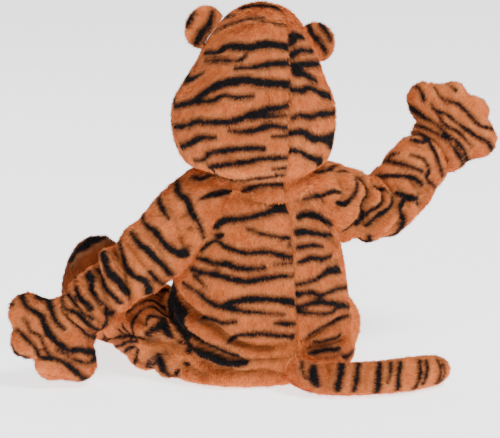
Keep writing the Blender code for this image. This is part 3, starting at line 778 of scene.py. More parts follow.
class TigerCostumeSettings(bpy.types.PropertyGroup):
    """Sizes and colours of the costume's plush."""

    deep_pile: colour_setting("Deep pile", "Orange of the pile in its darker patches", (0.50, 0.098, 0.021))
    light_pile: colour_setting(
        "Light pile", "Orange of the pile in its lighter patches", (1.0, 0.315, 0.090),
    )
    stripe: colour_setting("Stripe", "Colour of the stripes", (0.006, 0.006, 0.008))
    fringe: colour_setting("Fringe", "Colour of the pile beside a stripe", (0.42, 0.235, 0.115))
    deep_rust: colour_setting(
        "Deep rust", "Rust of the booties in their darker patches", (0.17, 0.035, 0.010),
    )
    light_rust: colour_setting(
        "Light rust", "Rust of the booties in their lighter patches", (0.40, 0.100, 0.028),
    )
    backing: colour_setting("Backing", "Colour of the knitted back of the plush", (0.66, 0.40, 0.24))
    floor: colour_setting("Floor", "Colour of the studio floor", (0.96, 0.96, 0.96))
    pile_length: length_setting("Pile length", "How long a tuft of the pile is", 0.0062)
    tuft_width: length_setting("Tuft width", "How wide a tuft is at its root", 0.0011)
    wall: length_setting("Knitted back", "How thick the knitted back is", 0.0012)
    pile_lean: bpy.props.FloatProperty(
        name="Pile lift", description="How steeply the tufts stand off the skin",
        unit="ROTATION", subtype="ANGLE", default=math.radians(30.0),
    )
    pile_density: bpy.props.FloatProperty(
        name="Tufts", description="How many tufts stand on a square millimetre", default=0.95, min=0.05
    )


# How far the skin lies inside the solids, so that the tips of the pile reach their surface
INSET = 1.8
# The right leg's skin lies deeper, so that less of the leg shows past the body
LEG_INSETS = {"left": 1.8, "right": 5.8}


def dress_panel(settings, node, cloth, quads, strokes, materials, seed, walled=True):
    """Makes the skin and the pile of one panel, and sets them in for its node."""
    skin_material, pile_material, backing = materials
    skin = make_skin(
        f"{node}_skin", cloth, quads, strokes, skin_material,
        backing if walled else None, settings.wall / MM,
    )
    pile = make_pile(
        f"{node}_pile", cloth, quads, strokes, pile_material, settings.pile_density,
        settings.pile_length / MM, math.degrees(settings.pile_lean), settings.tuft_width / MM, seed,
    )
    for piece in (skin, pile):
        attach(piece, BODY)
    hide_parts(node)
    corner = cloth.points[quads]
    crossed = np.cross(corner[:, 2] - corner[:, 0], corner[:, 3] - corner[:, 1])
    area = np.linalg.norm(crossed, axis=1).sum() / 2.0
    print(f"panel {node}: {area:.4f} m2, skin {len(skin.data.polygons)}, pile {len(pile.data.polygons)}")
    return skin, pile


def plush_set(settings, rust=False):
    """Materials of a skin, its pile and its back."""
    if rust:
        deep, light, name = settings.deep_rust, settings.light_rust, "rust_plush"
    else:
        deep, light, name = settings.deep_pile, settings.light_pile, "orange_plush"
    stripe, fringe = settings.stripe, settings.fringe
    return (
        plush_material(f"{name}_skin", deep, light, stripe, fringe, bumpy=True),
        plush_material(f"{name}_pile", deep, light, stripe, fringe),
        backing_material(settings.backing),
    )


def press_seam(wrap, axis, outline, depth, width, low_y=None, high_y=None):
    """A valley where two panels are sewn together, along an outline of (x or y, height), with painted shade
    along its line.
    """
    points = (wrap.centres[:, None, :] + wrap.ways * wrap.reach[..., None]) / MM
    height = points[..., 2] - FLOOR / MM
    rows = sorted(outline, key=lambda row: row[1])
    where = np.interp(height, [row[1] for row in rows], [row[0] for row in rows])
    beside = np.abs(points[..., axis] - where)
    valley = np.exp(-((beside / width) ** 1.5))
    if low_y is not None:
        valley = np.where(points[..., 1] > low_y, valley, 0.0)
    if high_y is not None:
        valley = np.where(points[..., 1] < high_y, valley, 0.0)
    wrap.reach -= np.nan_to_num(valley) * depth * MM
    # Painted shade along the seam's line, added to the painted shade of the creases
    line = np.exp(-beside / 1.4) * (valley > 0.0) * 0.55
    wrap.crease_shade = np.maximum(wrap.crease_shade, np.nan_to_num(line))


def panels_of(wrap, cloth):
    """The faces of a wrap for each of its nodes."""
    owners = wrap.owner_of[cloth.quads].max(axis=1)
    return {node: cloth.quads[owners == number] for number, node in enumerate(wrap.nodes)}


HOOD_SEAMS = {
    "back": ((-9.0, 180.0), (-8.0, 240.0), (-3.0, 290.0), (-3.0, 330.0), (-19.0, 440.0), (-22.0, 500.0)),
    "ears": ((-12.0, 180.0), (-12.0, 404.0), (43.0, 449.0), (110.0, 500.0)),
}
BACK_SEAM = ((-8.0, -40.0), (-8.0, 300.0))
SIDE_SEAM = ((-16.0, -40.0), (-16.0, 300.0))
FRONT_SEAM = ((3.0, -40.0), (3.0, 300.0))
FACE_OPENING = (0.004, 0.338 + FLOOR, 0.058, 0.070)
# Stripes as read off the photo: the widths at the start, middle and end, then the places (x, y),
# all in pixels of the photo, 500 wide and 438 high
PHOTO_STRIPES = {
    "hood": (
        (3.9, 8.5, 7.8, (
            (203.6, 54), (217.4, 51.7), (227.7, 46.5), (248.4, 46.5), (269, 44.8), (289.7, 47.7),
        )),
        (2.6, 4.5, 2.6, ((204.2, 62), (219.7, 60.9), (236.9, 61.4), (246, 56.3))),
        (2.6, 5.9, 6.5, ((235.2, 69.5), (254, 67.2), (271.4, 64.3), (292, 64.3))),
        (5.2, 7.8, 7.8, (
            (173.7, 106.8), (188.7, 103.4), (202.5, 94.2), (217.4, 86.1), (232.3, 82.1), (247.2, 79.8),
            (262.2, 83.3), (291.5, 85),
        )),
        (5.2, 4.5, 3.9, ((194.4, 102.2), (210.5, 101), (224.3, 95.9), (236.9, 97.6), (253, 95.9))),
        (5.2, 6.5, 5.2, (
            (173.2, 126.3), (185.2, 125.7), (195.6, 121.2), (213.9, 122.3), (236.9, 120.6),
            (248.4, 114.8), (265.6, 110.2), (289.2, 105.7),
        )),
        (5.2, 4.5, 2.6, ((246, 118.3), (259.9, 117.7), (286.3, 115.4))),
        (2.6, 5.9, 5.2, ((228.9, 130.9), (241.5, 132), (255.3, 129.8), (269, 126.9), (289.7, 128))),
        (6.5, 6.5, 3.9, ((180, 147), (191, 143.5), (200.2, 137.8), (215.7, 137.8))),
        (3.2, 5.9, 5.2, (
            (194.4, 160.8), (203.6, 159), (210.5, 153.3), (232.3, 150.4), (248.4, 148.1), (263.9, 148.7),
        )),
        (5.2, 5.2, 4.5, ((209.3, 166.5), (222, 165.4), (241.5, 162), (265.6, 158.5), (289.2, 158.5))),
        (2.6, 3.9, 3.9, ((273, 136), (290.9, 135.5))),
        (2.6, 3.9, 3.9, ((272, 169.4), (291, 167.5))),
        (6.5, 5.2, 2.6, ((181, 84), (188, 80.4), (195.6, 76.9), (202.5, 73.5))),
        # Painted shade along the seam over the top between the ears, drawn as a thin dark line
        (2.6, 2.6, 2.6, ((214, 32), (230, 23), (248.4, 18.4), (263.3, 16.7))),
        (2.6, 3.9, 2.6, ((222, 18), (233.5, 14.4))),
        # The same painted seam shade, its right part
        (2.6, 3.2, 2.6, ((269, 20.7), (284, 23), (296.6, 18.4))),
        (6.5, 10.4, 6.5, ((291.6, 42.4), (296, 36), (303.4, 37.5))),
        (6.5, 5.2, 5.2, ((292.2, 55.2), (300.6, 50.8), (312.8, 51.3))),
        (7.8, 6.5, 6.5, ((294.4, 68), (303.9, 64.7), (319.5, 63))),
        (7.8, 6.5, 5.2, ((297.2, 72.5), (306, 74.8), (316.8, 81.5))),
        (6.5, 5.9, 7.8, ((291.6, 89.8), (301.7, 89.8), (310.6, 88.7), (320.7, 93.2), (330.7, 97))),
        (3.9, 6.5, 6.5, ((293.3, 117.7), (300.6, 116), (310.6, 116.6), (320.7, 114.4), (335.2, 112.7))),
        (6.5, 7.8, 7.8, ((290.5, 133.9), (302.8, 132.8), (314, 137.8), (325, 139), (335.2, 132.8))),
        (5.2, 9.1, 9.1, ((325, 139.5), (334, 144))),
        (5.2, 5.2, 6.5, ((291.6, 151.8), (300.6, 152.3), (311.7, 157.4), (320.7, 160.2), (325, 165.2))),
        (4, 5, 3, ((242.8, 191.2), (258.2, 186.3), (275, 184.2), (289, 185.6))),
        # Not a stripe: painted shadow of the crease round the neck, drawn as a thin dark line
        (2, 2.5, 2, ((276, 175), (287, 175), (307, 175), (318, 177))),
        (6, 10, 6, ((241.5, 7), (255.3, 5), (269, 5.6), (279.4, 8.6))),
        (2, 3, 2, ((179, 87), (185, 81))),
        (1.5, 2, 1.5, ((194, 69), (198, 61))),
        # Not a stripe: painted shadow of the crease round the neck, its left part, drawn as a thin dark
        # line
        (2, 3, 3, ((212, 170), (224, 177), (240, 178.5), (258, 177.5), (277, 176))),
    ),
    "body": (
        (2.0, 3.2, 2.0, ((269.5, 202.5), (283.5, 203.2), (291, 202.5))),
        (2.0, 4.2, 3.2, ((304.6, 199), (321.4, 196), (335.4, 195.4))),
        (6.2, 4.2, 10.4, (
            (203.5, 220.7), (223, 220.7), (247, 217.9), (266.7, 213.7), (280.7, 208.8), (294.7, 210.2),
        )),
        (1.6, 3.2, 4.2, ((247, 229), (261, 234), (279.3, 237.5), (297.5, 239))),
        (3.2, 5.2, 5.2, (
            (195, 247.4), (213.3, 241.8), (227.4, 247.4), (244.2, 252.3), (268, 253), (286.3, 256.5),
            (297.5, 257.2),
        )),
        (2.0, 4.2, 2.0, ((212, 236), (220.4, 236))),
        (3.2, 6.2, 4.2, ((192.3, 258.6), (207.7, 262.8), (226, 264.9), (241.4, 268.4), (263.9, 267.7))),
        (4.2, 6.2, 3.2, (
            (190.9, 269.8), (204.9, 273.3), (223.2, 277.5), (244.2, 281), (265.3, 278.2), (280.7, 276.1),
            (294.7, 276.8),
        )),
        (3.2, 3.2, 1.6, ((193.7, 276.8), (206.3, 287.4))),
        (3.2, 6.2, 7.3, (
            (182.5, 283.9), (196.5, 292.3), (207.7, 300.7), (219, 306.3), (233, 302), (255.4, 299.3),
            (279.3, 300.7), (297.5, 303.5),
        )),
        (5.2, 4.2, 2.0, ((221.8, 307), (238.6, 311.2), (261, 313.3), (284.9, 314.7))),
        (4.2, 5.2, 3.2, ((197.9, 319), (207.7, 319), (220.4, 323.9), (235.8, 322.5))),
        (3.2, 5.2, 4.2, ((275, 323.2), (297.5, 323.9))),
        (3.2, 5.2, 5.2, ((227.4, 340.7), (238.6, 335.8), (261, 334.4), (279.3, 335.8), (297.5, 337.2))),
        (2.0, 4.2, 4.2, ((289, 246), (297.8, 247.4))),
        (2.0, 3.2, 3.2, ((275, 264.2), (297.5, 262.8))),
        (9, 15, 9, ((168, 283), (166.5, 290), (168.8, 299.2), (174.2, 309.1), (180.3, 315.2))),
        (9, 15, 9, ((162.7, 313), (163.4, 322.1), (168, 332.8), (171, 337.4))),
        (3.2, 5.2, 4.2, ((174.9, 326), (185.6, 333.6), (197.1, 340.5), (216, 348.4), (237.2, 356.8))),
        (3.2, 8.4, 6.2, ((181, 342), (191, 348.1), (206.3, 356.8), (223.2, 363.9), (244.2, 363.9))),
        (5.2, 6.2, 4.2, ((155, 365), (162.7, 371.9), (172.6, 378.8))),
        (6.2, 6.2, 2.0, ((299, 217.2), (310.2, 214.4), (322.8, 216.5), (335.4, 223.5))),
        (7.3, 4.7, 4.2, ((299, 233.3), (306, 231.9), (318.6, 234), (334, 235.4))),
        (4.2, 5.2, 2.0, ((299, 247.4), (311.6, 245.3), (323.5, 247.4))),
        (3.2, 5.2, 3.2, ((299, 262.1), (313, 257.9), (321.4, 259.3), (332.6, 256.5))),
        (3.2, 5.2, 8.4, ((299, 285.3), (314.4, 280.4), (328.4, 271.9), (339.6, 269.8))),
        (5.2, 4.2, 4.2, ((299, 294.4), (311.6, 293), (322.8, 295.1), (335.4, 290.2), (346.7, 286.7))),
        (4.2, 6.2, 5.2, ((299, 308.4), (311.6, 303.5), (325.6, 303.5), (349.5, 307))),
        (3.2, 3.6, 3.2, ((299, 312), (314.4, 314), (328.4, 313.3), (341, 307.7))),
        (4.2, 4.2, 2.0, ((311.6, 335.8), (328.4, 326), (349.5, 315.4))),
        (2, 4.2, 3, ((318.6, 343.5), (331.2, 340), (342.5, 335.8))),
        (2, 4.5, 3.5, ((311.6, 355.4), (327, 351.2), (343.9, 349.8))),
        (3.2, 3.2, 3.2, ((346.7, 358.2), (354, 351.2))),
    ),
    "sleeve_left": (
        (4.0, 6.9, 3.0, (
            (176.6, 180.6), (178.5, 191.6), (186.1, 198.3), (190.4, 207.8), (194.7, 218.4), (200.5, 226),
            (204.8, 237.5),
        )),
        (4.0, 4.5, 2.0, ((157.9, 196.8), (162.2, 208.8), (167.9, 218.4))),
        (3.0, 5.9, 6.9, (
            (143, 214), (145, 223.2), (153.6, 229.9), (161.2, 239.4), (168.9, 248), (179.4, 253.8),
            (188, 254.7),
        )),
        (4.0, 6.9, 4.0, (
            (130.6, 231.8), (137.3, 241.3), (146.9, 250.9), (157.4, 260.5), (167, 270), (172.7, 276.7),
        )),
        (3.0, 5.9, 8.9, (
            (119.1, 241.3), (122, 254.7), (126.8, 267.2), (135.4, 276.7), (145.9, 283.4), (149.8, 294),
        )),
        (3.0, 5.0, 3.0, ((151.2, 272.9), (156.5, 279.6), (163.2, 285.4))),
        (5.9, 7.9, 3.0, (
            (104, 255), (106.3, 262), (109.8, 272.5), (117, 279.6), (125, 291.3), (131.3, 295.7),
            (133, 302),
        )),
        (3.0, 4.5, 5.9, ((94.6, 263.6), (100, 275.2), (106.3, 287.7), (112.5, 295.7), (120.5, 302))),
        (7.9, 3.5, 3.0, (
            (84.8, 271.6), (90.2, 277.9), (90.2, 288.6), (96.4, 298.4), (106.3, 307.3), (113.4, 317.1),
            (123.2, 318.9),
        )),
        (3.0, 5.9, 5.0, ((74.1, 284.1), (77.7, 294.8), (84.8, 302), (91, 310))),
        (5.0, 2.0, 2.0, ((66, 292.1), (76.8, 304.6), (84.8, 313.6), (94.6, 320.7))),
        (3.0, 5.0, 5.0, (
            (61.6, 295.7), (65.2, 307.3), (75.9, 312.7), (85.7, 322.5), (94.6, 330.5), (102.7, 333.2),
        )),
        (2.0, 4.0, 4.0, ((108, 313.6), (109.8, 322.5), (106.3, 329.6))),
        (2, 3, 3, ((186, 171), (197, 167), (206, 166))),
        (2, 3.5, 3, ((191, 176), (200, 178), (213, 174))),
        (3, 4, 4, ((207, 166), (214, 172), (228, 173))),
        (2.7, 5.4, 3.6, ((201, 199), (215, 194), (232, 192))),
    ),
    "paw_left": (
        (4.8, 5.9, 5.9, (
            (22.3, 293.9), (22.3, 300.2), (29.5, 308.2), (40.2, 315.4), (44.6, 324.3), (50, 334.1),
            (60.7, 344.8), (69.6, 350.2), (80.4, 350.2), (93.8, 352.9),
        )),
        (7.8, 5.9, 3.0, ((38.4, 293.9), (46.4, 297.5), (50.9, 307.3), (55.4, 319.8), (64.3, 329.6))),
        (2.0, 3.4, 6.9, (
            (21.4, 318.9), (26.8, 321.6), (30.4, 329.6), (40.2, 336.8), (44.6, 348.4), (51.8, 356.4),
            (64.3, 361.8), (73.2, 369.8), (85.7, 379.6),
        )),
        (3.0, 4.4, 2.0, (
            (17.9, 330.5), (26.8, 338.6), (35.7, 347.5), (39.3, 355.5), (50, 359.1), (60.7, 361.8),
        )),
        (2.0, 3.0, 3.9, ((56.3, 349.3), (67, 356.4), (80.4, 361.8), (89.3, 362.7), (96, 357.3))),
        (2.0, 3.0, 2.0, ((10.7, 345.7), (17.9, 353.8), (26.8, 357.3))),
        (3.0, 3.0, 3.0, ((9.8, 303.8), (12, 305))),
        (4.8, 4.8, 4.8, ((65.2, 307.3), (75.9, 312.7), (85.7, 322.5))),
        (2.0, 3.9, 3.0, ((81.3, 330.5), (88.4, 335.9), (96.4, 337.7))),
    ),
    "sleeve_right": (
        (1.9, 3.8, 4.8, ((355.8, 175.5), (356.4, 187.6), (352.7, 197.3), (345.5, 203.9), (338.2, 202.1))),
        (1.9, 2.8, 1.9, ((338.2, 170.6), (349, 170.6))),
        (1.9, 2.8, 2.8, (
            (360, 173), (369.7, 188.8), (364.8, 200.9), (363.6, 216.7), (355.2, 228.8), (343, 232.4),
        )),
        (2.8, 4.8, 1.9, (
            (374.5, 186.4), (383, 193.6), (380.6, 205.8), (370.9, 210.6), (366, 220.3), (358.8, 228.8),
        )),
        (2.8, 3.8, 5.7, (
            (375.8, 182.7), (387.9, 191.2), (392.7, 200.9), (385.5, 211.8), (375.8, 219.1),
            (368.5, 228.8),
        )),
        (3.8, 7.5, 2.8, ((397.6, 192.4), (407.3, 197.3), (417, 199.7), (420.6, 207))),
        (4.8, 4.8, 4.8, ((403.6, 202.1), (400, 209.4), (404.8, 222.7), (397.6, 233.6), (390.3, 236.7))),
        (3.8, 4.8, 3.8, ((373.3, 174.2), (387.9, 175.5), (402.4, 175.5), (414.5, 177.9), (423, 185.2))),
        (2.8, 3.8, 2.8, ((381.8, 160.9), (395.2, 162.1), (409.7, 165.8), (423, 171.8))),
        (2.8, 2.8, 1.9, ((389, 154.8), (397.6, 153.6))),
        (1.9, 3.3, 3.8, ((410.9, 154.8), (423, 158.5), (429, 169.4), (429, 179), (435.2, 188.2))),
        (2.8, 6.6, 2.8, (
            (403.6, 136), (414.5, 133.6), (424.2, 137.9), (433.9, 148.8), (438.8, 160.9), (443, 176.7),
        )),
        (2.8, 3.8, 2.8, ((409.7, 139), (423, 142.7))),
        (2, 3, 3, ((317, 172), (326, 170), (337, 165))),
        (2.5, 4.1, 2.5, ((322, 196), (333, 192), (342, 192))),
    ),
    "paw_right": (
        (1.8, 4.5, 1.8, ((403.6, 136), (414.5, 133.6), (424.2, 137.9), (433.9, 148.8), (438.8, 160.9))),
        (2.7, 2.7, 4.5, (
            (404.8, 126.4), (414.5, 125.2), (429, 129.4), (443.6, 137.9), (453.3, 147.6), (465.5, 165.8),
        )),
        (4.5, 3.1, 4.5, (
            (407.9, 105.2), (417, 111.2), (426.7, 118.5), (436.4, 124.5), (446, 134.2), (457, 141.5),
            (463, 150), (467.3, 162),
        )),
        (1.8, 2.7, 1.8, ((430.9, 104.5), (436.4, 112.4), (446, 125.8), (459.4, 133), (471.5, 146.4))),
        (2.7, 4.0, 4.5, (
            (432.7, 108.8), (447.3, 114.8), (459.4, 124.5), (475.2, 135.5), (487.3, 141.5),
            (493.3, 151.2),
        )),
        (1.8, 4.0, 2.7, (
            (434.5, 88.8), (442.4, 99), (459.4, 105.2), (471.5, 117.3), (481.2, 126.4), (492, 129.4),
        )),
        (2.7, 3.6, 2.7, ((414.5, 85.2), (420.6, 90.6), (423.6, 100.9))),
        (1.8, 2.7, 2.7, ((448.5, 84), (455.8, 90.6))),
    ),
    "leg_left": (
        (2.5, 3, 2.5, ((127.4, 312), (135.7, 305), (147, 300.7), (161.4, 300))),
        (3.5, 3.5, 2.5, (
            (132, 333.6), (130.7, 322), (132.9, 315.7), (140, 310), (150, 306.4), (163, 305),
        )),
        (2, 3, 2, ((143, 323), (147, 316.4), (157, 311.4))),
        (2, 3, 2, ((143, 336.4), (150, 328), (158, 320))),
        (3, 3, 3, ((122, 325), (123.6, 333.6))),
        (2.5, 3, 2.5, ((116.5, 329), (118, 335.5))),
        (3, 3, 2, ((103.6, 333.6), (100.7, 340.7))),
        (2, 2.5, 2, ((105.7, 352), (107, 346), (113, 341), (124.3, 337), (138.6, 338))),
        (2, 2.5, 2, ((114.3, 354), (118.6, 346.4), (125.7, 342.5), (135.7, 342.5))),
        (2, 2.5, 2, ((119.3, 359.3), (124.3, 350.3), (132.9, 347))),
        (2, 3, 2, ((134.3, 346.4), (132.9, 356.4), (131.4, 371))),
        (1.5, 2.5, 1.5, ((152.9, 359.3), (145.7, 365), (143.6, 370.7))),
        (1.2, 2, 1.5, ((152.9, 367.9), (147, 370.7), (147, 378))),
        (2.5, 4, 2.5, ((159, 315), (161, 325), (165, 337))),
        (4, 6, 6, ((174.9, 326), (185.6, 333.6), (197.1, 340.5))),
        (4, 7, 7, ((181, 342), (191, 348.1), (206.3, 356.8))),
        (2.5, 3, 2.5, ((155.7, 364.3), (162.9, 373.6), (174.3, 381.4))),
    ),
    "tail": (
        (1.5, 2.0, 1.5, ((301.8, 361), (304.6, 379.3))),
        (5.0, 5.9, 5.0, ((314, 365), (315.7, 386))),
        (5.9, 5.9, 5.9, ((341, 363), (340, 376), (338, 390))),
        (4.0, 5.0, 5.0, ((358.7, 362), (356.5, 377), (354, 391.5))),
        (5.0, 5.9, 5.9, ((379.5, 362), (378.5, 377), (376.3, 393))),
        (4.0, 4.0, 2.0, ((390.6, 362), (388.4, 382.7))),
        (4.0, 5.0, 4.0, ((400.2, 361), (399, 376), (397, 391))),
        (3.0, 5.0, 4.0, ((419.3, 360), (421, 370), (414.5, 388.6))),
        (3.0, 4.0, 3.0, ((425.7, 360), (424, 384))),
        (3.0, 4.0, 3.0, ((436.9, 359), (441.6, 369.9), (436.9, 384))),
        (2.0, 3.0, 2.0, ((443, 361), (445.4, 370), (441.6, 382))),
    ),
    "ear_left": (
        (4.8, 8.4, 3.6, ((193.8, 12.5), (188.5, 17.2), (187.5, 26))),
        (4.8, 8.4, 6.0, ((211.9, 13.5), (209, 24.1), (201.3, 33.3), (196.7, 43))),
        (2, 3, 2, ((213, 34), (208, 44))),
    ),
    "ear_right": (
        (6.0, 7.2, 4.8, ((309.5, 26), (312.8, 34.6), (320.7, 42.4), (326, 53))),
        (6.0, 6.0, 4.8, ((321.8, 26), (326.2, 31.2), (331, 40.1))),
    ),
    "foot_left": (
        (4, 7.5, 5, ((67, 262), (72, 254), (79, 248), (91.4, 241.5), (106, 235.5))),
    ),
}
